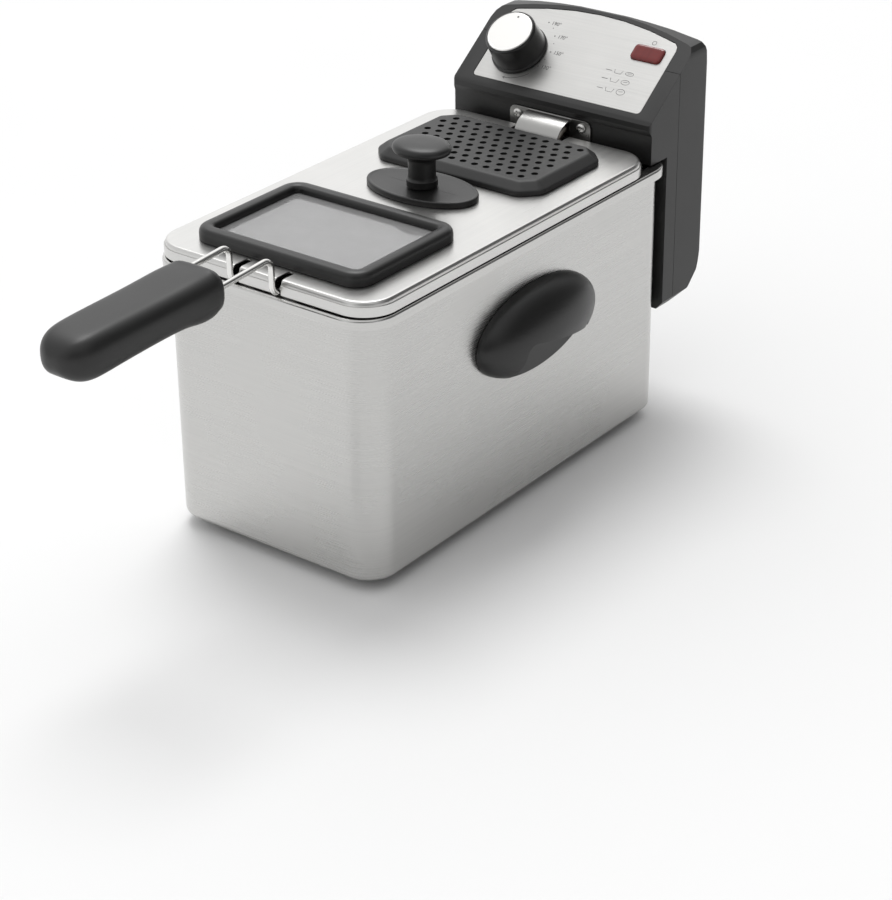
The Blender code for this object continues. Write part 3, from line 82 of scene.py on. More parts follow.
class Finish:
    """One material, built node by node in the piece's own coordinates."""

    def __init__(self, name, **fixed):
        self.material = bpy.data.materials.new(name)
        self.material.use_nodes = True
        self.tree = self.material.node_tree
        self.shader = self.tree.nodes["Principled BSDF"]
        for socket, value in fixed.items():
            self.shader.inputs[socket.replace("_", " ")].default_value = value
        self.place = self.node("ShaderNodeTexCoord", {}, {}, "Object")

    def node(self, kind, settings, values, output=0):
        """Adds a node with its settings, fills or links its sockets, and reads one output."""
        node = self.tree.nodes.new(kind)
        for setting, value in settings.items():
            setattr(node, setting, value)
        for socket, value in values.items():
            if isinstance(value, Reading):
                self.tree.links.new(value.socket, node.inputs[socket])
            else:
                node.inputs[socket].default_value = value
        return Reading(self, node.outputs[output])

    def stretched(self, scale):
        """The place, scaled along its axes so that a pattern runs in lines."""
        return self.node("ShaderNodeMapping", {}, {"Vector": self.place, "Scale": scale})

    def noise(self, place, scale=1.0, detail=2.0, roughness=0.5):
        return self.node("ShaderNodeTexNoise", {}, {"Vector": place, "Scale": scale, "Detail": detail,
                                                    "Roughness": roughness})

    def mixed(self, share, first, second):
        """Two colours mixed by a share."""
        return self.node("ShaderNodeMix", {"data_type": "RGBA"}, {0: share, 6: first, 7: second}, 2)

    def bumped(self, height, distance, strength=1.0):
        """Raises the surface a little where the height is high."""
        self.drive("Normal", self.node("ShaderNodeBump", {}, {"Height": height, "Distance": distance,
                                                              "Strength": strength}))

    def drive(self, socket, reading):
        self.tree.links.new(reading.socket, self.shader.inputs[socket])


def grey(level, warmth=0.0):
    """A near-neutral colour; warmth takes a little blue out."""
    return (level, level * (1 - warmth * 0.2), level * (1 - warmth), 1)


def brushed_steel(name, lines, light=0.66, dark=0.56, roughness=0.27, grain=0.00012, pull=0.0):
    """Brushed sheet: lines holds how fast the grain changes along each axis, pull how far it
    draws reflections across upright walls."""
    finish = Finish(name, Metallic=1.0, Anisotropic=pull, Anisotropic_Rotation=0.25)
    fine = finish.noise(finish.stretched(lines), 1.0, 3.0, 0.6)
    broad = finish.noise(finish.stretched([value * 0.16 for value in lines]), 1.0, 2.0)
    smudge = finish.noise(finish.place, 14.0, 3.0, 0.6)
    tone = fine * 0.65 + broad * 0.15 + smudge * 0.2
    finish.drive("Base Color", finish.mixed(tone.rise(0.25, 0.75), grey(dark, 0.02), grey(light, 0.03)))
    finish.drive("Roughness", roughness - 0.05 + fine * 0.08 + smudge.rise(0.45, 0.75) * 0.05)
    finish.bumped(fine + broad * 0.15, grain, 0.3)
    return finish.material


def put_down():
    """Leaves edit mode and lets go of everything."""
    if bpy.context.mode != "OBJECT":
        bpy.ops.object.mode_set(mode="OBJECT")
    bpy.ops.object.select_all(action="DESELECT")


def start_box(name, low, high):
    """Adds a box between two corners and opens it for editing with nothing selected."""
    put_down()
    low, high = Vector(low), Vector(high)
    bpy.ops.mesh.primitive_cube_add(size=1, location=(low + high) / 2, scale=high - low)
    return open_piece(name)


def open_piece(name):
    """Takes the new primitive's place into its mesh and opens it for editing."""
    bpy.ops.object.transform_apply(location=True, rotation=True, scale=True)
    piece = bpy.context.active_object
    piece.name = piece.data.name = name
    bpy.ops.object.mode_set(mode="EDIT")
    bpy.ops.mesh.select_all(action="DESELECT")
    return piece


def editing():
    """The mesh that is open for editing."""
    return bmesh.from_edit_mesh(bpy.context.active_object.data)


def pick(kind, wanted):
    """In edit mode, selects the faces or edges that pass a test, and nothing else."""
    bpy.ops.mesh.select_mode(type=kind)
    bpy.ops.mesh.select_all(action="DESELECT")
    mesh = editing()
    chosen = [part for part in (mesh.faces if kind == "FACE" else mesh.edges) if wanted(part)]
    for part in chosen:
        part.select_set(True)
    mesh.select_flush_mode()
    bmesh.update_edit_mesh(bpy.context.active_object.data)
    return chosen


def pick_cap(direction):
    """Selects the face that looks along a direction and stands farthest out along it."""
    direction = Vector(direction)
    facing = [face for face in editing().faces if face.normal.dot(direction) > 0.99]
    reach = max(face.calc_center_median().dot(direction) for face in facing)
    pick("FACE", lambda face: face.normal.dot(direction) > 0.99
         and face.calc_center_median().dot(direction) > reach - 1e-5)


def upright(edge):
    """A test for edges that stand upright."""
    run = edge.verts[1].co - edge.verts[0].co
    return abs(run.z) > 0.99 * run.length


def at_height(z, reach=0.05 * MM):
    """A test for edges that lie at one height."""
    return lambda edge: all(abs(vert.co.z - z) < reach for vert in edge.verts)


def step_in(*steps, unit=MM):
    """From the selected cap: moves its outline inwards and along its normal, step by step."""
    for inwards, onwards in steps:
        bpy.ops.mesh.inset(thickness=inwards * unit, depth=onwards * unit, use_even_offset=True,
                           use_boundary=True)


def hold(piece):
    """Selects one piece and nothing else."""
    put_down()
    piece.select_set(True)
    bpy.context.view_layer.objects.active = piece


def modified(piece, kind, **settings):
    """Adds a modifier and applies it."""
    hold(piece)
    modifier = piece.modifiers.new(kind.lower(), kind)
    for setting, value in settings.items():
        setattr(modifier, setting, value)
    bpy.ops.object.modifier_apply(modifier=modifier.name)


def softened(piece, width, segments=2, angle=30):
    """Rounds the edges that are sharper than an angle."""
    modified(piece, "BEVEL", width=width, segments=segments, limit_method="ANGLE",
             angle_limit=math.radians(angle), harden_normals=False)


def mounted(piece, material, body, slot, *nodes, angle=35, flatness=70):
    """Shades and paints the piece, and puts it on its body in place of its nodes."""
    hold(piece)
    bpy.ops.object.shade_smooth_by_angle(angle=math.radians(angle))
    modified(piece, "WEIGHTED_NORMAL", keep_sharp=True, weight=flatness)
    piece.data.materials.clear()
    piece.data.materials.append(material)
    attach(piece, body)
    if nodes:
        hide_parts(*nodes)
    return piece


def painted(material, *nodes):
    """Gives CAD pieces that stay as they are their finish."""
    for node in nodes:
        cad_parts[node].data.materials.clear()
        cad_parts[node].data.materials.append(material)


shell_low, shell_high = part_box("outer_shell")
SHELL_CORNER = 22 * MM
SHELL_SHEET = 1.0 * MM
SHELL_HEM = 4.5 * MM
shell_steel = brushed_steel("shell_steel", (9, 9, 2300), 0.60, 0.54, 0.28, pull=0.55)

shell = start_box("shell_sleeve", shell_low, shell_high)
pick("EDGE", upright)
bpy.ops.mesh.bevel(offset=SHELL_CORNER, segments=16)
pick_cap((0, 0, 1))
bpy.ops.mesh.delete(type="FACE")
pick("EDGE", at_height(shell_low.z))
bpy.ops.mesh.bevel(offset=SHELL_HEM, segments=5)
pick_cap((0, 0, -1))
step_in((1.5, 0))
bpy.ops.mesh.delete(type="FACE")
modified(shell, "SOLIDIFY", thickness=SHELL_SHEET, offset=-1)
mounted(shell, shell_steel, "housing", "brushed_steel", "outer_shell")


# ---------------------------------------------------------------- base plate, clamps and guide
# Plain pressed steel plates inside and behind the sleeve: the floor that carries the feet,
# the strips that the side handles clamp to, and the guide for the control unit.

plate_steel = brushed_steel("plate_steel", (900, 20, 20), 0.5, 0.42, 0.36)
painted(plate_steel, "base_plate", "handle_clamp_left", "handle_clamp_right", "control_guide")


# ---------------------------------------------------------------- feet
# Four pushed-in feet of black rubber, with the dull, slightly grainy skin of a moulding.

def black_moulding(name, level, roughness, grain_depth=0.00006, grain_scale=2600):
    """Black plastic or rubber with a fine spark-eroded grain and faint handling marks."""
    finish = Finish(name, Specular_IOR_Level=0.5)
    grain = finish.noise(finish.place, grain_scale, 2.0, 0.5)
    cloud = finish.noise(finish.place, 26.0, 3.0, 0.6)
    finish.drive("Base Color", finish.mixed(cloud, grey(level * 0.85), grey(level * 1.15, 0.03)))
    finish.drive("Roughness", roughness + cloud * 0.08 + grain * 0.04)
    finish.bumped(grain, grain_depth, 0.5)
    return finish.material


rubber = black_moulding("foot_rubber", 0.022, 0.7, 0.0001, 1800)
painted(rubber, "foot_front_left", "foot_front_right", "foot_rear_left", "foot_rear_right")


# ---------------------------------------------------------------- oil tank
# Deep-drawn stainless tank. Its flange lies over the shell's top edge and turns down as a
# 7 mm lip on three sides; the back is cut flush, where the control unit hangs.

tank_low, tank_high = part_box("oil_tank")
RIM_Z = tank_high.z
TANK_SHEET = 1.2 * MM
TANK_LIP = 7 * MM
TANK_CORNER = 27 * MM
tank_steel = brushed_steel("tank_steel", (30, 30, 1300), 0.62, 0.54, 0.22, pull=0.4)

flange_back = shell_high.y + (shell_low.y - tank_low.y)
tank = start_box("tank_pan", (tank_low.x, tank_low.y, RIM_Z - TANK_LIP), (tank_high.x, flange_back, RIM_Z))
pick("EDGE", upright)
bpy.ops.mesh.bevel(offset=TANK_CORNER, segments=16)
pick_cap((0, 0, -1))
bpy.ops.mesh.delete(type="FACE")
pick("EDGE", at_height(RIM_Z))
bpy.ops.mesh.bevel(offset=2.0 * MM, segments=4)
pick_cap((0, 0, 1))
step_in((6.7, 0), (0.5, -0.2), (0.6, -0.5), (0.4, -0.8),
        (0, (tank_low.z - RIM_Z) / MM + 12), (0.8, -3.2), (2.7, -3.9),
        (3.6, -1.6), (4.4, -0.6))
pick("FACE", lambda face: True)
bpy.ops.mesh.bisect(plane_co=(0, shell_high.y - 0.1 * MM, 0), plane_no=(0, 1, 0), clear_outer=True)
modified(tank, "SOLIDIFY", thickness=TANK_SHEET, offset=-1)
mounted(tank, tank_steel, "tank", "inner_steel", "oil_tank")


# ---------------------------------------------------------------- basket
# Woven steel wire box that hangs in the tank: 0.8 mm wires every 6 mm, folded up from one
# sheet, with a thick rim wire, two hoops under it and a bracket for the handle.

def plated(name, level, roughness, streak=(60, 60, 60), warmth=0.03):
    """Bright plated or polished metal with faint drawn streaks and a little haze."""
    finish = Finish(name, Metallic=1.0)
    lines = finish.noise(finish.stretched(streak), 1.0, 3.0, 0.6)
    haze = finish.noise(finish.place, 40.0, 2.0)
    finish.drive("Base Color", finish.mixed(haze, grey(level * 0.93, warmth), grey(level, warmth)))
    finish.drive("Roughness", roughness + lines * 0.08 + haze.rise(0.5, 0.8) * 0.08)
    finish.bumped(lines, 0.00005, 0.25)
    return finish.material


def bent_line(corners, bend, steps=6):
    """A wire's centre line: straight runs, with each corner rounded to one radius."""
    corners = [Vector(corner) for corner in corners]
    line = [corners[0]]
    for before, corner, after in zip(corners, corners[1:], corners[2:]):
        back, ahead = (before - corner).normalized(), (after - corner).normalized()
        half_angle = back.angle(ahead) / 2
        centre = corner + (back + ahead).normalized() * bend / math.sin(half_angle)
        start = corner + back * bend / math.tan(half_angle) - centre
        end = corner + ahead * bend / math.tan(half_angle) - centre
        line += [centre + start.lerp(end, step / steps).normalized() * bend for step in range(steps + 1)]
    return line + [corners[-1]]


def wires(name, lines, radius, resolution=2, closed=False):
    """Round wires along centre lines, as one mesh with closed ends."""
    curve = bpy.data.curves.new(name, "CURVE")
    curve.dimensions = "3D"
    curve.bevel_depth, curve.bevel_resolution, curve.use_fill_caps = radius, resolution, True
    for line in lines:
        spline = curve.splines.new("POLY")
        spline.points.add(len(line) - 1)
        for point, place in zip(spline.points, line):
            point.co = (*place, 1)
        spline.use_cyclic_u = closed
    piece = bpy.data.objects.new(name, curve)
    bpy.context.scene.collection.objects.link(piece)
    hold(piece)
    bpy.ops.object.convert(target="MESH")
    piece = bpy.context.active_object
    bpy.ops.object.mode_set(mode="EDIT")
    bpy.ops.mesh.select_all(action="SELECT")
    bpy.ops.mesh.remove_doubles(threshold=radius * 0.02)
    bpy.ops.mesh.normals_make_consistent(inside=False)
    bpy.ops.object.mode_set(mode="OBJECT")
    return piece


def round_loop(half_x, half_y, middle_y, corner, z, steps=6):
    """Points round a rounded rectangle at one height."""
    loop = []
    for quarter, (side_x, side_y) in enumerate(((1, 1), (-1, 1), (-1, -1), (1, -1))):
        for step in range(steps + 1):
            turn = math.radians(90 * (quarter + step / steps))
            loop.append((side_x * (half_x - corner) + corner * math.cos(turn),
                         middle_y + side_y * (half_y - corner) + corner * math.sin(turn), z))
    return loop


mesh_low, mesh_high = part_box("basket_mesh")
MESH_WIRE = 0.4 * MM
MESH_PITCH = 5.6 * MM
BASKET_CORNER = 22 * MM
BASKET_FOLD = 9 * MM
BASKET_TAPER = 3 * MM
WIRE_INSET = 0.8 * MM               # outer wires' middle lines inside the basket's box
basket_wire = plated("basket_wire", 0.72, 0.16)
mesh_mid = (mesh_low + mesh_high) / 2
mesh_half = (mesh_high - mesh_low) / 2


def basket_fold(across, wall, mesh_wall):
    """One wire of the box: down a wall, across the floor and up the other wall."""
    top, low = mesh_high.z - 1 * MM, mesh_low.z + 1 * MM
    narrow = wall - BASKET_TAPER
    corners = [(-wall, top), (-narrow, low), (narrow, low), (wall, top)]
    if mesh_wall == "side":
        return bent_line([(x, across, z) for x, z in corners], BASKET_FOLD, 4)
    return bent_line([(across, mesh_mid.y + y, z) for y, z in corners], BASKET_FOLD, 4)


folds = []
reach_x, reach_y = mesh_half.x - WIRE_INSET, mesh_half.y - WIRE_INSET
count_x = int((reach_x - BASKET_CORNER * 0.8) / MESH_PITCH)
count_y = int((reach_y - BASKET_CORNER * 0.8) / MESH_PITCH)
for step in range(-count_x, count_x + 1):
    folds.append(basket_fold(step * MESH_PITCH, reach_y, "end"))
for step in range(-count_y, count_y + 1):
    folds.append(basket_fold(mesh_mid.y + step * MESH_PITCH, reach_x, "side"))
for side_x in (-1, 1):
    for side_y in (-1, 1):
        for step in (1, 2, 3, 4):
            turn = math.radians(step * 18)
            round_x = reach_x - BASKET_CORNER + BASKET_CORNER * math.cos(turn)
            round_y = reach_y - BASKET_CORNER + BASKET_CORNER * math.sin(turn)
            foot_x, foot_y = round_x - BASKET_TAPER, round_y - BASKET_TAPER
            folds.append(bent_line(
                [(side_x * round_x, mesh_mid.y + side_y * round_y, mesh_high.z - 1 * MM),
                 (side_x * foot_x, mesh_mid.y + side_y * foot_y, mesh_low.z + 1 * MM),
                 (side_x * foot_x * 0.7, mesh_mid.y + side_y * foot_y * 0.85, mesh_low.z + 1 * MM)],
                BASKET_FOLD, 4))
mesh_folds = wires("basket_folded_wires", folds, MESH_WIRE, 0)
rounds = []
levels = int((mesh_high.z - mesh_low.z - BASKET_FOLD) / MESH_PITCH)
for level in range(levels):
    z = mesh_high.z - (level + 1) * MESH_PITCH
    inwards = BASKET_TAPER * (mesh_high.z - z) / (mesh_high.z - mesh_low.z) + 2 * MESH_WIRE
    rounds.append(round_loop(reach_x - inwards, reach_y - inwards, mesh_mid.y, BASKET_CORNER - inwards, z))
mesh_rounds = wires("basket_round_wires", rounds, MESH_WIRE, 0, closed=True)
mounted(mesh_folds, basket_wire, "basket", "chrome_wire", "basket_mesh", angle=60)
mounted(mesh_rounds, basket_wire, "basket", "chrome_wire", angle=60)

rim_low, rim_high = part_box("basket_rim_wire")
RIM_WIRE = (rim_high.z - rim_low.z) / 2
rim_mid, rim_half = (rim_low + rim_high) / 2, (rim_high - rim_low) / 2
rim_line = round_loop(rim_half.x - RIM_WIRE, rim_half.y - RIM_WIRE, rim_mid.y, BASKET_CORNER + RIM_WIRE,
                      rim_mid.z, 8)
mounted(wires("basket_rim", [rim_line], RIM_WIRE, 3, closed=True), basket_wire, "basket", "chrome_wire",
        "basket_rim_wire", angle=60)
for end in ("front", "rear"):
    hoop_low, hoop_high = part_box(f"basket_hoop_{end}")
    thick = (hoop_high.y - hoop_low.y) / 2
    side_x, middle, bottom = hoop_high.x - thick, (hoop_low.y + hoop_high.y) / 2, hoop_low.z + thick
    hoop = wires(f"basket_{end}_hoop", [bent_line(
        [(-side_x, middle, hoop_high.z), (-side_x, middle, bottom), (side_x, middle, bottom),
         (side_x, middle, hoop_high.z)], 7 * MM)], thick, 3)
    mounted(hoop, basket_wire, "basket", "chrome_wire", f"basket_hoop_{end}", angle=60)


def rounded_copy(node, name, width, segments=2, angle=28):
    """A copy of a CAD piece with its loose triangles joined and its edges rounded."""
    piece = bpy.data.objects.new(name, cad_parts[node].data.copy())
    bpy.context.scene.collection.objects.link(piece)
    hold(piece)
    bpy.ops.object.mode_set(mode="EDIT")
    bpy.ops.mesh.select_all(action="SELECT")
    bpy.ops.mesh.customdata_custom_splitnormals_clear()
    bpy.ops.mesh.remove_doubles(threshold=0.00001)
    bpy.ops.mesh.dissolve_limited(angle_limit=math.radians(1))
    bpy.ops.mesh.normals_make_consistent(inside=False)
    softened(piece, width, segments, angle)
    return piece


bracket_steel = plated("bracket_steel", 0.55, 0.3)
mounted(rounded_copy("basket_bracket", "handle_bracket", 0.35 * MM), bracket_steel, "basket",
        "plated_bracket", "basket_bracket")


# ---------------------------------------------------------------- handle
# Two bent 4.2 mm chromed wires that plug into the basket's bracket, and a moulded black
# grip over their front ends: flat on top, full at the tip, with a finger guard below.

chrome = plated("handle_chrome", 0.82, 0.09, (30, 6, 200))
HUMP_Z = RIM_Z + 27.5 * MM
HUMP_BEND, PLUG_BEND = 6.5 * MM, 4.5 * MM
for side in ("left", "right"):
    wire_low, wire_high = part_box(f"handle_wire_{side}")
    thick = (wire_high.x - wire_low.x) / 2
    across = (wire_low.x + wire_high.x) / 2
    over = RIM_Z + thick + 0.6 * MM
    plug = wire_high.y - thick
    drop = shell_low.y - 7 * MM
    resting = (across, (drop + plug) / 2, over)
    line = bent_line([(across, wire_low.y, HUMP_Z - 4 * MM), (across, drop, HUMP_Z), (across, drop, over),
                      resting], HUMP_BEND, 8)
    line += bent_line([resting, (across, plug, over), (across, plug, wire_low.z)], PLUG_BEND, 8)[1:]
    mounted(wires(f"handle_rod_{side}", [line], thick, 4), chrome, "handle", "chrome_wire",
            f"handle_wire_{side}", angle=60)


def grow(centre, half):
    """Extrudes the selected cap to a new middle, resized to new half sizes (0 keeps one)."""
    bpy.ops.mesh.extrude_region_move()
    places = [vert.co for vert in editing().verts if vert.select]
    low = Vector([min(place[axis] for place in places) for axis in range(3)])
    high = Vector([max(place[axis] for place in places) for axis in range(3)])
    now = (low + high) / 2
    scale = [half[axis] / ((high[axis] - low[axis]) / 2) if half[axis] else 1 for axis in range(3)]
    bpy.ops.transform.resize(value=scale, center_override=now)
    bpy.ops.transform.translate(value=Vector(centre) - now)


grip_low, grip_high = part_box("handle_grip")
GRIP_WIDE, GRIP_TALL = 22.5 * MM, 15 * MM
GRIP_EDGE = 12 * MM
GRIP_DROOP = 3 * MM
GRIP_MIDDLE = RIM_Z + 22 * MM
grip_length = grip_high.y - grip_low.y
grip_black = black_moulding("grip_black", 0.01, 0.36, 0.00005)

grip = start_box("grip_moulding", (-GRIP_WIDE, grip_high.y - 7.5 * MM, GRIP_MIDDLE - GRIP_TALL),
                 (GRIP_WIDE, grip_high.y - 7 * MM, GRIP_MIDDLE + GRIP_TALL))
pick("EDGE", lambda edge: abs((edge.verts[1].co - edge.verts[0].co).y) > 0.2 * MM)
bpy.ops.mesh.bevel(offset=GRIP_EDGE, segments=4)
pick_cap((0, -1, 0))
# share of the length, half width, top and bottom about the grip's middle line
GRIP_RINGS = ((0.08, 23.2, 14.8, 16.2), (0.14, 23.8, 15.0, 16.6), (0.20, 23.7, 14.9, 15.2),
              (0.27, 23.2, 14.7, 13.6), (0.38, 22.8, 14.4, 13.4), (0.55, 22.5, 14.4, 13.8),
              (0.72, 22.3, 14.5, 14.8), (0.83, 21.8, 14.3, 15.8), (0.88, 20.6, 13.6, 15.6),
              (0.92, 18.6, 12.2, 14.4), (0.955, 15.2, 9.8, 12.0), (0.98, 10.8, 6.6, 8.8),
              (0.996, 5.4, 2.6, 4.6))
for share, half_width, above, below in GRIP_RINGS:
    middle = GRIP_MIDDLE - GRIP_DROOP * share + (above - below) / 2 * MM
    grow((0, grip_high.y - grip_length * share, middle), (half_width * MM, 0, (above + below) / 2 * MM))
pick_cap((0, 1, 0))
step_in((0.6, 2.3), (1.3, 2.0), (2.4, 1.5), (3.2, 0.8))
modified(grip, "SUBSURF", levels=2, render_levels=2)
mounted(grip, grip_black, "handle", "black_plastic", "handle_grip", angle=60)


def driven_screw(name, radius, height, place, direction, shank):
    """A pan head screw with a cross recess, standing on a place and looking along a direction."""
    put_down()
    bpy.ops.mesh.primitive_cylinder_add(vertices=28, radius=radius, depth=height * 0.35,
                                        location=(0, 0, height * 0.175))
    screw = open_piece(name)
    pick_cap((0, 0, 1))
    step_in((radius * 0.04, height * 0.2), (radius * 0.12, height * 0.22), (radius * 0.22, height * 0.16),
            (radius * 0.25, height * 0.07), unit=1)
    pick_cap((0, 0, -1))
    step_in((radius * 0.55, 0), (0, shank), unit=1)
    for turn in (0, 90):
        slot = start_box("cross", (-radius * 0.13, -radius * 0.6, height * 0.45),
                         (radius * 0.13, radius * 0.6, height * 1.5))
        bpy.ops.object.mode_set(mode="OBJECT")
        slot.data.transform(Matrix.Rotation(math.radians(turn), 4, "Z"))
        modified(screw, "BOOLEAN", object=slot, operation="DIFFERENCE", solver="EXACT")
        bpy.data.objects.remove(slot)
    facing = Vector(direction).to_track_quat("Z", "Y").to_matrix().to_4x4()
    screw.data.transform(Matrix.Translation(place) @ facing)
    return screw


screw_steel = plated("screw_steel", 0.7, 0.2)
grip_screw_low, grip_screw_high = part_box("grip_screw")
grip_screw_mid = (grip_screw_low + grip_screw_high) / 2
mounted(driven_screw("grip_cross_screw", 2.9 * MM, 1.4 * MM,
                     (0, grip_screw_mid.y, grip_screw_low.z + 1.45 * MM), (0, 0, -1), 8 * MM),
        screw_steel, "handle", "screw_steel", "grip_screw")


# ---------------------------------------------------------------- lid
# Pressed steel lid: a raised top inside a crisp step, a plain skirt below it, two slots for
# the handle wires in front and a notch behind, round the element's shroud.

lid_low, lid_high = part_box("lid_panel")
LID_CORNER = 24 * MM
LID_SHEET = 0.9 * MM
SLOT_HALF = 2.6 * MM
lid_steel = brushed_steel("lid_steel", (2100, 9, 2100), 0.67, 0.61, 0.30)


def cut(piece, *tools):
    """Takes the tools out of the piece and clears them away."""
    for tool in tools:
        modified(piece, "BOOLEAN", object=tool, operation="DIFFERENCE", solver="EXACT")
        bpy.data.objects.remove(tool)


def rounded_tool(low, high, corner, segments=5):
    """A cutting block with rounded upright edges."""
    tool = start_box("tool", low, high)
    pick("EDGE", upright)
    bpy.ops.mesh.bevel(offset=corner, segments=segments)
    bpy.ops.object.mode_set(mode="OBJECT")
    return tool


def round_tool(radius, low, high, vertices=24):
    """A round cutting pin between two points, one over the other."""
    put_down()
    bpy.ops.mesh.primitive_cylinder_add(vertices=vertices, radius=radius, depth=high.z - low.z,
                                        location=(low + high) / 2)
    tool = open_piece("tool")
    bpy.ops.object.mode_set(mode="OBJECT")
    return tool


window_low, window_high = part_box("window_frame")
shroud_low, shroud_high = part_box("element_shroud")
pad_low, pad_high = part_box("grease_filter")
knob_low, knob_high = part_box("lid_knob")
lid = start_box("lid_cover", lid_low, (lid_high.x, lid_high.y, lid_high.z - 3.7 * MM))
pick("EDGE", upright)
bpy.ops.mesh.bevel(offset=LID_CORNER, segments=16)
pick_cap((0, 0, -1))
step_in((LID_SHEET / MM, 0), (0, -6.6), (0.9, -1.0), (1.4, -0.9), (1.5, -0.6))
pick_cap((0, 0, 1))
step_in((0.25, 0.25), (0.3, 0), (0.12, -0.35), (0.12, 0.35),
        (0.15, 1.2), (0.4, 1.0), (0.8, 0.85), (1.3, 0.4))
WINDOW_OPENING = 9.6 * MM
cut(lid, rounded_tool(window_low + Vector((WINDOW_OPENING, WINDOW_OPENING, -12 * MM)),
                      window_high + Vector((-WINDOW_OPENING, -WINDOW_OPENING, 0)), 4.4 * MM),
    rounded_tool((pad_low.x - 0.3 * MM, pad_low.y - 0.3 * MM, lid_low.z - 5 * MM),
                 (pad_high.x + 0.3 * MM, pad_high.y + 0.3 * MM, lid_high.z + 5 * MM), 0.5 * MM, 2))
for side in ("left", "right"):
    wire_low, wire_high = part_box(f"handle_wire_{side}")
    across = (wire_low.x + wire_high.x) / 2
    cut(lid, rounded_tool((across - SLOT_HALF, lid_low.y - 5 * MM, lid_low.z - 5 * MM),
                          (across + SLOT_HALF, lid_low.y + 15 * MM, lid_high.z + 5 * MM), 2.2 * MM, 4))
NOTCH_HALF = 22.7 * MM
cut(lid, rounded_tool((-NOTCH_HALF, shroud_low.y - 4 * MM, lid_low.z - 5 * MM),
                      (NOTCH_HALF, lid_high.y + 9 * MM, lid_high.z + 5 * MM), 3 * MM, 4),
    round_tool(2.3 * MM, Vector((0, (knob_low.y + knob_high.y) / 2, lid_low.z)),
               Vector((0, (knob_low.y + knob_high.y) / 2, lid_high.z + 5 * MM))))
mounted(lid, lid_steel, "lid", "brushed_steel", "lid_panel", angle=25)
liner_steel = brushed_steel("liner_steel", (20, 900, 900), 0.55, 0.48, 0.33)
mounted(rounded_copy("lid_liner", "lid_inner_plate", 0.25 * MM), liner_steel, "lid", "inner_steel",
        "lid_liner")


# ---------------------------------------------------------------- window
# Moulded frame with a full, rounded bar, screwed down from below over a rubber seal, and a
# toughened pane held under its inner ledge.

frame_black = black_moulding("frame_black", 0.01, 0.34)
FRAME_LEDGE = 3.9 * MM              # height of the ledge that the pane is held under
window = start_box("window_surround", window_low, (window_high.x, window_high.y, window_low.z + 4.2 * MM))
pick("EDGE", upright)
bpy.ops.mesh.bevel(offset=14 * MM, segments=10)
pick_cap((0, 0, 1))
step_in((0.3, 1.9), (0.7, 1.35), (1.1, 0.95), (1.5, 0.6),
        (1.8, 0.2), (1.0, 0), (1.6, -0.2), (1.3, -0.6),
        (0.9, -1.0), (0.4, -1.4), (0, -2.1))
pick_cap((0, 0, -1))
step_in((7.0, 0), (0, -FRAME_LEDGE / MM))
pick("FACE", lambda face: abs(face.calc_center_median().z - window_low.z - FRAME_LEDGE) < 0.1 * MM
     and abs(face.normal.z) > 0.9 and face.calc_area() > 0.004)
bpy.ops.mesh.bridge_edge_loops()
mounted(window, frame_black, "lid", "black_plastic", "window_frame", angle=35)
latch = start_box("window_rear_tab", (38 * MM, window_high.y - 1 * MM, window_low.z),
                  (58 * MM, window_high.y + 4.5 * MM, window_low.z + 5.0 * MM))
pick("EDGE", lambda edge: upright(edge) and edge.verts[0].co.y > window_high.y)
bpy.ops.mesh.bevel(offset=4 * MM, segments=4)
softened(latch, 0.8 * MM)
mounted(latch, frame_black, "lid", "black_plastic")

pane_low, pane_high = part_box("window_pane")
# The pane's grey base colour is a painted reflection: it stands in for the bright room mirrored in the smoked
# glass. The noise shifts this painted sheen a little and also stands for faint dust in the roughness and
# see-through.
glass = Finish("pane_glass", Transmission_Weight=0.35, IOR=1.52, Coat_Weight=0.6, Coat_Roughness=0.02)
dust_and_sheen = glass.noise(glass.place, 55.0, 3.0, 0.6)
glass.drive("Base Color", glass.mixed(dust_and_sheen, grey(0.40), grey(0.45)))
glass.drive("Roughness", 0.05 + dust_and_sheen * 0.06)
glass.drive("Alpha", dust_and_sheen * 0.04 + 0.80)
pane = start_box("pane", pane_low, pane_high)
pick("EDGE", upright)
bpy.ops.mesh.bevel(offset=6.7 * MM, segments=6)
softened(pane, 0.4 * MM)
mounted(pane, glass.material, "lid", "smoked_glass", "window_pane")
seal_rubber = black_moulding("seal_rubber", 0.03, 0.6)
painted(seal_rubber, "window_seal")


# ---------------------------------------------------------------- lid knob
# Oval base plate with a thin raised rim, and a waisted stem that opens into a smooth oval
# knob. Both are black mouldings, held from below by one screw.

knob_black = black_moulding("knob_black", 0.01, 0.33)
base_low, base_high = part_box("knob_base")
base_mid, base_half = (base_low + base_high) / 2, (base_high - base_low) / 2


def start_oval(name, centre, half_x, half_y, low, high, vertices=72):
    """Adds an upright oval slab and opens it for editing."""
    put_down()
    bpy.ops.mesh.primitive_cylinder_add(vertices=vertices, radius=1, depth=1,
                                        location=(centre.x, centre.y, (low + high) / 2),
                                        scale=(half_x, half_y, high - low))
    return open_piece(name)


knob_base = start_oval("knob_plate", base_mid, base_half.x, base_half.y, base_low.z, base_high.z - 1.0 * MM)
pick_cap((0, 0, 1))
step_in((0.3, 0.6), (0.5, 0.35), (0.9, 0.05), (0.6, -0.35),
        (1.2, -0.15), (5, -0.3), (7, -0.1))
mounted(knob_base, knob_black, "lid", "black_plastic", "knob_base", angle=50)

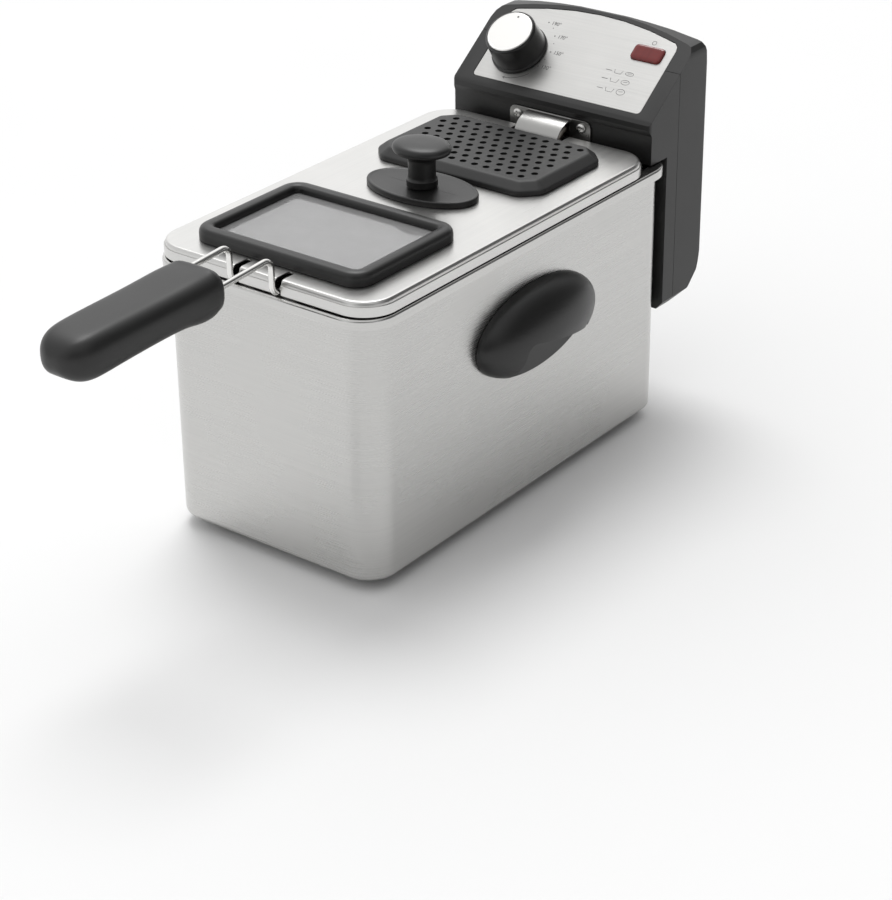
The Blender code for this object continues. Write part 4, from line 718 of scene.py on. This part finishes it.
knob_mid, knob_half = (knob_low + knob_high) / 2, (knob_high - knob_low) / 2
cap_middle = knob_high.z - 5.0 * MM
knob = start_oval("knob_cap_and_stem", knob_mid, knob_half.x, knob_half.y, cap_middle - 0.5 * MM,
                  cap_middle + 0.5 * MM)
pick_cap((0, 0, 1))
for share, rise in ((0.985, 1.6), (0.95, 2.5), (0.89, 3.3), (0.80, 3.95), (0.66, 4.5), (0.45, 4.85),
                    (0.2, 5.0)):
    grow((0, knob_mid.y, cap_middle + rise * MM), (knob_half.x * share, knob_half.y * share, 0))
pick_cap((0, 0, -1))
for share, drop in ((0.985, 1.5), (0.95, 2.4), (0.86, 3.3), (0.72, 4.1)):
    grow((0, knob_mid.y, cap_middle - drop * MM), (knob_half.x * share, knob_half.y * share, 0))
for radius, drop in ((12.2, 4.9), (10.4, 6.0), (9.7, 7.6), (9.5, 10.0), (9.5, 19.5), (9.9, 21.4),
                     (10.8, 22.0)):
    grow((0, knob_mid.y, cap_middle - drop * MM), (radius * MM, radius * MM, 0))
grow((0, knob_mid.y, knob_low.z), (10.8 * MM, 10.8 * MM, 0))
mounted(knob, knob_black, "lid", "black_plastic", "lid_knob", angle=50)
painted(screw_steel, "knob_screw")


# ---------------------------------------------------------------- filter cover
# Vented moulding over the grease filter: flat top inside a broad sloping border, corners
# cut at a slant, and twelve by eight vents set in quincunx.

cover_low, cover_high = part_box("filter_cover")
VENT = 2.55 * MM
VENT_COLUMNS, VENT_ROWS = 12, 8
VENT_BORDER = 15 * MM               # cover's edge to the outer vents
cover_black = black_moulding("cover_black", 0.013, 0.42)
cover = start_box("vent_cover", cover_low, (cover_high.x, cover_high.y, cover_low.z + 2.6 * MM))
pick("EDGE", upright)
bpy.ops.mesh.bevel(offset=13 * MM, segments=1)
pick("EDGE", upright)
bpy.ops.mesh.bevel(offset=4.2 * MM, segments=4)
pick_cap((0, 0, -1))
step_in((2.2, 0), (0.3, -2.0), (3.6, -2.8), (2.6, -1.6), (0.9, -0.3))
pick_cap((0, 0, 1))
step_in((0.4, 0.7), (0.8, 0.6), (2.2, 1.7), (2.2, 1.7),
        (0.9, 0.6), (0.9, 0.35), (0.9, 0.1))
pitch_x = (cover_high.x - cover_low.x - 2 * VENT_BORDER) / (VENT_COLUMNS - 0.5)
pitch_y = (cover_high.y - cover_low.y - 2 * VENT_BORDER) / (VENT_ROWS - 1)
for half_row in (0, 1):
    first = Vector(((half_row * 0.5 - (VENT_COLUMNS - 0.5) / 2) * pitch_x,
                    (cover_low.y + cover_high.y) / 2 + (half_row - (VENT_ROWS - 1) / 2) * pitch_y,
                    cover_high.z - 4 * MM))
    vents = round_tool(VENT, first, first + Vector((0, 0, 8 * MM)), 12)
    for count, pitch in ((VENT_COLUMNS, (pitch_x, 0, 0)), (VENT_ROWS // 2, (0, 2 * pitch_y, 0))):
        modified(vents, "ARRAY", count=count, use_relative_offset=False, use_constant_offset=True,
                 constant_offset_displace=pitch)
    cut(cover, vents)
mounted(cover, cover_black, "lid", "black_plastic", "filter_cover", angle=35)

pad_grey = Finish("filter_pad", Metallic=0.6, Roughness=0.6)
weave = pad_grey.noise(pad_grey.place, 900.0, 2.0)
pad_grey.drive("Base Color", pad_grey.mixed(weave, grey(0.02), grey(0.07)))
pad_grey.bumped(weave, 0.0004)
painted(pad_grey.material, "grease_filter")


# ---------------------------------------------------------------- side handles
# Egg-shaped black moulding on each side, hollow from below for the fingers: a hood that
# runs out to the rear, over a flat plate screwed to the shell.

handle_low, handle_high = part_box("side_handle_right")
handle_mid, handle_half = (handle_low + handle_high) / 2, (handle_high - handle_low) / 2
PLATE = 3 * MM
HOOD_WALL = 6 * MM
HOOD_FRONT = 33 * MM                # finger opening's front end before the handle's middle
HOOD_EDGE = handle_mid.z - 4.5 * MM
HOOD_TILT = math.radians(-11)
handle_black = black_moulding("side_handle_black", 0.009, 0.3)


def side_handle(name, hand):
    """The dome on one side (hand is 1 on the right), with its finger opening cut from below."""
    put_down()
    bpy.ops.mesh.primitive_uv_sphere_add(segments=64, ring_count=32, radius=1,
                                         location=(handle_low.x, handle_mid.y, handle_mid.z),
                                         rotation=(0, math.radians(90), 0),
                                         scale=(handle_half.z, handle_half.y, handle_high.x - handle_low.x))
    dome = open_piece(name)
    pick("FACE", lambda face: True)
    bpy.ops.mesh.bisect(plane_co=(handle_low.x, 0, 0), plane_no=(-1, 0, 0), clear_outer=True, use_fill=True)
    opening = start_box("opening", (handle_low.x + PLATE, handle_mid.y - HOOD_FRONT, handle_low.z - 20 * MM),
                        (handle_high.x + 10 * MM, handle_mid.y + 68 * MM, HOOD_EDGE))
    pick("EDGE", lambda edge: abs((edge.verts[1].co - edge.verts[0].co).x) > 10 * MM
         and edge.verts[0].co.z > handle_mid.z - 12 * MM and edge.verts[0].co.y < handle_mid.y)
    bpy.ops.mesh.bevel(offset=7 * MM, segments=5)
    pivot = Vector((0, handle_mid.y, HOOD_EDGE))
    bpy.ops.object.mode_set(mode="OBJECT")
    opening.data.transform(Matrix.Translation(pivot) @ Matrix.Rotation(HOOD_TILT, 4, "X")
                           @ Matrix.Translation(-pivot))
    hollow = start_box("hollow", (handle_low.x + PLATE, handle_mid.y - 32 * MM, handle_low.z - 6 * MM),
                       (handle_high.x - HOOD_WALL, handle_mid.y + 44 * MM, handle_mid.z + 12 * MM))
    softened(hollow, 6 * MM, 4)
    cut(dome, opening, hollow)
    softened(dome, 0.7 * MM, 3, 40)
    if hand < 0:
        dome.data.transform(Matrix.Scale(-1, 4, (1, 0, 0)))
        dome.data.flip_normals()
    return dome


for side, hand in (("left", -1), ("right", 1)):
    mounted(side_handle(f"carry_handle_{side}", hand), handle_black, "housing", "black_plastic",
            f"side_handle_{side}", angle=45)


# ---------------------------------------------------------------- control unit casing
# Two black mouldings joined at an upright seam behind the shell. The head reaches over the
# tank, and its sloping top takes the faceplate in a shallow recess.

casing_black = black_moulding("casing_black", 0.01, 0.36, 0.00005, 2200)
for node, name in (("control_front_shell", "control_casing_front"),
                   ("control_rear_cover", "control_casing_rear")):
    mounted(rounded_copy(node, name, 0.9 * MM, 3), casing_black, "control_unit", "black_plastic", node,
            angle=60, flatness=50)
for index in range(1, 5):
    screw_low, screw_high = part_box(f"rear_screw_{index}")
    middle = (screw_low + screw_high) / 2
    mounted(driven_screw(f"casing_screw_{index}", 3.4 * MM, 1.3 * MM,
                         (middle.x, screw_high.y - 1.3 * MM, middle.z), (0, 1, 0), 8 * MM),
            screw_steel, "control_unit", "screw_steel", f"rear_screw_{index}")
gland_rubber = black_moulding("gland_rubber", 0.025, 0.55)
mounted(rounded_copy("cord_gland", "lead_gland", 0.4 * MM), gland_rubber, "control_unit", "black_rubber",
        "cord_gland")
ceramic = Finish("ceramic", Roughness=0.6)
speckle = ceramic.noise(ceramic.place, 500.0, 2.0)
ceramic.drive("Base Color", ceramic.mixed(speckle, (0.62, 0.6, 0.54, 1), (0.74, 0.72, 0.66, 1)))
painted(ceramic.material, "thermostat_body", "lamp_body", "cutout_body", "terminal_block")
painted(casing_black, "interlock_switch")


# ---------------------------------------------------------------- heating element and sensors
# One 7 mm stainless tube bent in four runs above the tank's floor, with the two bulbs
# lying between its runs on a clip. Heat has tinted the steel a little.

element_low, element_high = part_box("heating_element")
TUBE = 3.5 * MM
LEG_X = 12 * MM
INNER_X = 25 * MM
head_front = shroud_high.y + 0.3 * MM
leg_y, leg_z, run_z = head_front - 11 * MM, element_high.z - TUBE, element_low.z + TUBE
outer_x, near_y = element_high.x - TUBE, element_low.y + TUBE
far_y, turn_y = leg_y - 26 * MM, leg_y - 61 * MM
element_steel = Finish("element_steel", Metallic=1.0)
heat = element_steel.noise(element_steel.place, 9.0, 2.0).rise(0.35, 0.7)
element_steel.drive("Base Color", element_steel.mixed(heat, (0.42, 0.40, 0.37, 1), (0.30, 0.25, 0.20, 1)))
element_steel.drive("Roughness", 0.3 + heat * 0.12)
one_half = [(-LEG_X, head_front + 11 * MM, leg_z), (-LEG_X, leg_y, leg_z), (-LEG_X, leg_y, run_z),
            (-LEG_X, far_y, run_z), (-outer_x, far_y, run_z), (-outer_x, near_y, run_z),
            (-INNER_X, near_y, run_z), (-INNER_X, turn_y, run_z)]
other_half = [(-x, y, z) for x, y, z in reversed(one_half)]
mounted(wires("element_tube", [bent_line(one_half + other_half, 11 * MM, 8)], TUBE, 4), element_steel.material,
        "control_unit", "element_steel", "heating_element", angle=60)
for node, across in (("thermostat_bulb", 4 * MM), ("cutout_bulb", -4 * MM)):
    bulb_low, bulb_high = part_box(node)
    bulb_z = bulb_low.z + 2.8 * MM
    thin = bent_line([(across, head_front + 11 * MM, leg_z), (across, leg_y, leg_z), (across, leg_y, bulb_z),
                      (across, bulb_low.y + 70 * MM, bulb_z)], 8 * MM, 6)
    thick = [Vector((across, bulb_low.y + 80 * MM, bulb_z)), Vector((across, bulb_low.y, bulb_z))]
    mounted(wires(f"{node}_capillary", [thin], 1.2 * MM), chrome, "control_unit", "element_steel", node,
            angle=60)
    mounted(wires(f"{node}_tube", [thick], 2.8 * MM, 3), chrome, "control_unit", "element_steel", angle=60)
painted(bracket_steel, "element_flange", "sensor_clip")


# ---------------------------------------------------------------- element shroud
# Nickel-plated bracket screwed to the head, whose quarter-round hood covers the element's
# legs where they turn down into the tank.

nickel = plated("nickel", 0.42, 0.26, (12, 900, 900))
mounted(rounded_copy("element_shroud", "leg_shroud", 0.3 * MM, 2), nickel, "control_unit", "plated_bracket",
        "element_shroud", angle=40)
for side in ("left", "right"):
    screw_low, screw_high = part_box(f"shroud_screw_{side}")
    middle = (screw_low + screw_high) / 2
    mounted(driven_screw(f"hood_screw_{side}", 3.7 * MM, 2.0 * MM,
                         (middle.x, screw_low.y + 2.0 * MM, middle.z), (0, -1, 0), 6 * MM),
            screw_steel, "control_unit", "screw_steel", f"shroud_screw_{side}")


# ---------------------------------------------------------------- faceplate and lamp
# Brushed steel plate glued into the head's recess. Temperatures stand round the dial in
# dark grey print, and plain marks at the right; the lamp's red lens comes through it.

plate_low, plate_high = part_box("faceplate")
SLOPE = math.radians(36)
PLATE_BELOW = 0.2 * MM              # plate's top under the casing's sloping plane
foot_y = plate_low.y - PLATE_BELOW * math.sin(SLOPE)
foot_z = plate_low.z + 1.2 * MM * math.cos(SLOPE)
on_slope = Matrix.Translation((0, foot_y, foot_z)) @ Matrix.Rotation(SLOPE, 4, "X")
panel_steel = brushed_steel("panel_steel", (9, 1900, 1900), 0.56, 0.50, 0.36)
mounted(rounded_copy("faceplate", "name_panel", 0.18 * MM), panel_steel, "control_unit", "faceplate_metal",
        "faceplate")

print_grey = Finish("print_grey", Roughness=0.55)
wear = print_grey.noise(print_grey.place, 700.0, 2.0)
print_grey.drive("Base Color", print_grey.mixed(wear, grey(0.05), grey(0.10)))
PRINT = 0.06 * MM
THIN_LINE, PICTURE_LINE = 0.42 * MM, 0.36 * MM


def printed(piece):
    """Lays flat print on the sloping plate."""
    piece.data.transform(on_slope @ Matrix.Translation((0, 0, -PLATE_BELOW)))
    mounted(piece, print_grey.material, "control_unit", "faceplate_metal")


def print_text(name, words, x, along, size):
    """Plain figures in print, their foot at a place on the plate."""
    put_down()
    bpy.ops.object.text_add(location=(0, 0, 0))
    letters = bpy.context.active_object
    letters.data.body, letters.data.size, letters.data.extrude = words, size, PRINT / 2
    bpy.ops.object.convert(target="MESH")
    letters = bpy.context.active_object
    letters.name = letters.data.name = name
    letters.data.transform(Matrix.Translation((x, along, PRINT / 2)))
    printed(letters)


def print_dot(name, x, along, radius):
    """A round dot of print."""
    put_down()
    bpy.ops.mesh.primitive_cylinder_add(vertices=12, radius=radius, depth=PRINT,
                                        location=(x, along, PRINT / 2))
    dot = open_piece(name)
    pick_cap((0, 0, 1))
    step_in((radius * 0.1, 0), unit=1)
    bpy.ops.object.mode_set(mode="OBJECT")
    printed(dot)


def print_line(name, points, width=THIN_LINE, closed=False):
    """A line of print along points on the plate."""
    flat = wires(name, [[(x, along, 0) for x, along in points]], width / 2, 1, closed)
    flat.data.transform(Matrix.Scale(PRINT / width, 4, (0, 0, 1)) @ Matrix.Translation((0, 0, width / 2)))
    printed(flat)


def oval(x, along, half_x, half_y, step, start=0, stop=360):
    """Points round an oval on the plate, or along a part of it, every so many degrees."""
    return [(x + half_x * math.cos(math.radians(turn)), along + half_y * math.sin(math.radians(turn)))
            for turn in range(start, stop, step)]


# words, x and place up the plate, in millimetres
FIGURES = (("190°", -37.3, 57.4), ("170°", -26.2, 47.2), ("150°", -22.0, 33.3), ("130°", -25.1, 19.4))
for index, (words, x, along) in enumerate(FIGURES):
    print_dot(f"mark_{index + 1}", x * MM, along * MM, 0.55 * MM)
    print_text(f"figure_{index + 1}", words, (x + 2.6) * MM, (along - 1.3) * MM, 4.4 * MM)
for index, (x, along) in enumerate(((-31.2, 53.5), (-23.5, 40.8), (-23.0, 26.2))):
    print_dot(f"half_mark_{index + 1}", x * MM, along * MM, 0.4 * MM)
DIAL_X, DIAL_ALONG = -47 * MM, 29 * MM
SWEEP = 25.2 * MM
sweep = oval(DIAL_X, DIAL_ALONG, SWEEP, SWEEP, 4, -92, -43)
tip_x, tip_along = sweep[0]
print_line("sweep_line", sweep)
print_line("sweep_arrow", [(tip_x + 1.8 * MM, tip_along + 1.1 * MM), sweep[0],
                           (tip_x + 1.8 * MM, tip_along - 1.1 * MM)])
PICTURES = ((48.5, 30.0), (48.9, 22.5), (49.5, 14.0))
for row, (x, along) in enumerate(PICTURES):
    x, along = x * MM, along * MM
    name = f"picture_{row + 1}"
    print_line(name, oval(x, along, 3.4 * MM, (1.5 + 0.5 * row) * MM, 20), PICTURE_LINE, closed=True)
    print_line(f"{name}_bar", [(x - 1.6 * MM, along), (x + 1.6 * MM, along + 0.6 * MM)], PICTURE_LINE)
    print_line(f"{name}_tray", [(x + across * MM, along + rise * MM) for across, rise in
                                ((-13, 1.5), (-12, -1.6), (-7, -1.6), (-6, 1.5))], PICTURE_LINE)
    print_line(f"{name}_rule", [(x - 20 * MM, along), (x - 15 * MM, along)], 0.45 * MM)
print_line("lamp_mark", oval(53.5 * MM, 59.8 * MM, 1.7 * MM, 1.7 * MM, 30), closed=True)

# The faint red emission is a painted glow: the lens gives off a little red light of its own, with no lamp lit
# behind it.
lens_red = Finish("lens_red", IOR=1.49, Coat_Weight=0.3, Coat_Roughness=0.03, Emission_Strength=0.03,
                  Emission_Color=(0.6, 0.02, 0.01, 1))
ribs = lens_red.noise(lens_red.stretched((500, 30, 30)), 1.0, 1.0)
lens_red.drive("Base Color", lens_red.mixed(ribs, (0.10, 0.004, 0.004, 1), (0.16, 0.007, 0.006, 1)))
lens_red.drive("Roughness", ribs * 0.1 + 0.08)
LENS_LOW, LENS_HIGH = Vector((41.0, 43.0, -3)) * MM, Vector((66.0, 56.0, 0.8)) * MM
lens = start_box("lamp_lens", LENS_LOW, LENS_HIGH)
pick("EDGE", upright)
bpy.ops.mesh.bevel(offset=3.2 * MM, segments=8)
pick_cap((0, 0, 1))
step_in((0.25, 0.4), (0.5, 0.35), (0.9, 0.2), (1.5, 0.05))
bpy.ops.object.mode_set(mode="OBJECT")
lens.data.transform(on_slope)
mounted(lens, lens_red.material, "control_unit", "red_lens", "indicator_lens", angle=50)


# ---------------------------------------------------------------- dial
# Tapered black knob on the thermostat's shaft, with a thin skirt at its foot, a chamfered
# rim, and a spun metal disc let into its face with a bright edge and a small dot.

DIAL_FOOT, DIAL_DISC, DIAL_TALL = 21.5 * MM, 17.6 * MM, 22 * MM
put_down()
bpy.ops.mesh.primitive_cylinder_add(vertices=96, radius=DIAL_FOOT, depth=0.9 * MM,
                                    location=(DIAL_X, DIAL_ALONG, 1.05 * MM))
dial = open_piece("dial_grip")
pick_cap((0, 0, 1))
step_in((0.3, 0.5), (0.5, 0.2), (0.2, 0.6), (0.3, 2.4), (0.9, 14.6), (0.35, 0.8), (0.9, 0.75),
        (0.15, 0.1), (0.15, -0.05), (0, -2.0))
bpy.ops.object.mode_set(mode="OBJECT")
dial.data.transform(on_slope)
dial_black = black_moulding("dial_black", 0.008, 0.24)
mounted(dial, dial_black, "dial", "black_plastic", "dial_knob", angle=50)

disc_metal = Finish("disc_metal", Metallic=1.0)
from_middle = disc_metal.node("ShaderNodeMapping", {"vector_type": "TEXTURE"},
                              {"Vector": disc_metal.place, "Rotation": (SLOPE, 0, 0),
                               "Location": on_slope @ Vector((DIAL_X, DIAL_ALONG, 0))})
rings = disc_metal.node("ShaderNodeTexWave", {"wave_type": "RINGS", "rings_direction": "Z"},
                        {"Vector": from_middle, "Scale": 420.0, "Distortion": 0.6, "Detail": 2.0})
disc_metal.drive("Base Color", disc_metal.mixed(rings, grey(0.80, 0.03), grey(0.88, 0.03)))
disc_metal.drive("Roughness", rings * 0.05 + 0.3)
put_down()
bpy.ops.mesh.primitive_cylinder_add(vertices=96, radius=DIAL_DISC, depth=1.0 * MM,
                                    location=(DIAL_X, DIAL_ALONG, DIAL_TALL - 1.6 * MM))
disc = open_piece("dial_disc")
pick_cap((0, 0, 1))
step_in((0.15, 0.5), (0.5, 0.5), (0.35, 0.05), (0.25, -0.12), (4, 0))
bpy.ops.object.mode_set(mode="OBJECT")
disc.data.transform(on_slope)
mounted(disc, disc_metal.material, "dial", "dial_metal", "dial_cap", angle=20)
put_down()
bpy.ops.mesh.primitive_cylinder_add(vertices=16, radius=0.8 * MM, depth=0.1 * MM,
                                    location=(DIAL_X, DIAL_ALONG + DIAL_DISC - 4.2 * MM,
                                              DIAL_TALL - 0.12 * MM))
dot = open_piece("dial_dot")
pick_cap((0, 0, 1))
step_in((0.2, 0.02))
bpy.ops.object.mode_set(mode="OBJECT")
dot.data.transform(on_slope)
mounted(dot, print_grey.material, "dial", "dial_metal")
painted(bracket_steel, "thermostat_shaft")


# ---------------------------------------------------------------- reset button
# Small red push button of the cut-out, in its hole in the unit's back.

button_red = Finish("button_red", Roughness=0.35)
skin = button_red.noise(button_red.place, 900.0, 2.0)
button_red.drive("Base Color", button_red.mixed(skin, (0.42, 0.015, 0.012, 1), (0.52, 0.02, 0.016, 1)))
mounted(rounded_copy("reset_button", "reset_plunger", 0.3 * MM), button_red.material, "reset", "red_button",
        "reset_button")


# ---------------------------------------------------------------- room and camera
# Plain pale floor and soft light from above and from the left.

FLOOR_SIZE = 40.0
put_down()
bpy.ops.mesh.primitive_plane_add(size=FLOOR_SIZE, location=(0, 2.0, 0))
floor = bpy.context.active_object
bpy.ops.object.transform_apply(location=True, rotation=True, scale=True)
floor.name = "floor"
paper = Finish("floor_paper", Roughness=0.75, Specular_IOR_Level=0.2)
paper.drive("Base Color", paper.mixed(paper.noise(paper.place, 3.0), grey(0.87), grey(0.89)))
floor.data.materials.append(paper.material)

world = bpy.data.worlds.new("studio")
world.use_nodes = True
bpy.context.scene.world = world


class Sky(Finish):
    """The studio round the fryer, built the same way from the direction looked along."""

    def __init__(self):
        self.tree = world.node_tree
        self.shader = self.tree.nodes["Background"]
        self.shader.inputs["Color"].default_value = (1, 1, 1, 1)
        self.place = self.node("ShaderNodeTexCoord", {}, {}, "Generated")

    def zone(self, direction, full, none):
        """1 within an angle of a direction, fading to 0 at a wider one."""
        nearness = self.node("ShaderNodeVectorMath", {"operation": "DOT_PRODUCT"},
                             {0: self.place, 1: Vector(direction).normalized()}, "Value")
        return nearness.rise(math.cos(math.radians(none)), math.cos(math.radians(full)))


sky = Sky()
window_side = sky.zone((-0.54, 0.70, 0.55), 15, 60)
dark_side = sky.zone((0.75, 0.66, 0.05), 30, 72)
dark_front = sky.zone((0.60, -0.75, 0.15), 14, 44)
sky.drive("Strength", window_side * 0.3 + 0.85 - dark_side * 0.74 - dark_front * 0.62)
bpy.context.scene.view_settings.view_transform = "Standard"


SUN_FROM = Vector((-0.35, 0.35, 1.0))
sunlight = bpy.data.lights.new("key_sun", "SUN")
sunlight.energy = 1.3
sunlight.angle = math.radians(30)
sun = bpy.data.objects.new("key_sun", sunlight)
bpy.context.scene.collection.objects.link(sun)
sun.location = SUN_FROM
sun.rotation_euler = (-SUN_FROM).to_track_quat("-Z", "Y").to_euler()

VIEW_SIDE, VIEW_RISE, VIEW_ROLL = math.radians(37.435), math.radians(27.847), math.radians(-0.573)
LENS = 99.3
EYE = Vector((0.968684, -1.071818 + shell_low.y, 0.842639))
towards_eye = Vector((math.sin(VIEW_SIDE) * math.cos(VIEW_RISE), -math.cos(VIEW_SIDE) * math.cos(VIEW_RISE),
                      math.sin(VIEW_RISE)))
level_right = (-towards_eye).cross(Vector((0, 0, 1))).normalized()
level_up = level_right.cross(-towards_eye)
right = level_right * math.cos(VIEW_ROLL) + level_up * math.sin(VIEW_ROLL)
up = level_up * math.cos(VIEW_ROLL) - level_right * math.sin(VIEW_ROLL)
camera_lens = bpy.data.cameras.new("camera")
camera_lens.lens = LENS
camera = bpy.data.objects.new("camera", camera_lens)
bpy.context.scene.collection.objects.link(camera)
placing = Matrix((right, up, towards_eye)).transposed().to_4x4()
placing.translation = EYE
camera.matrix_world = placing
bpy.context.scene.camera = camera
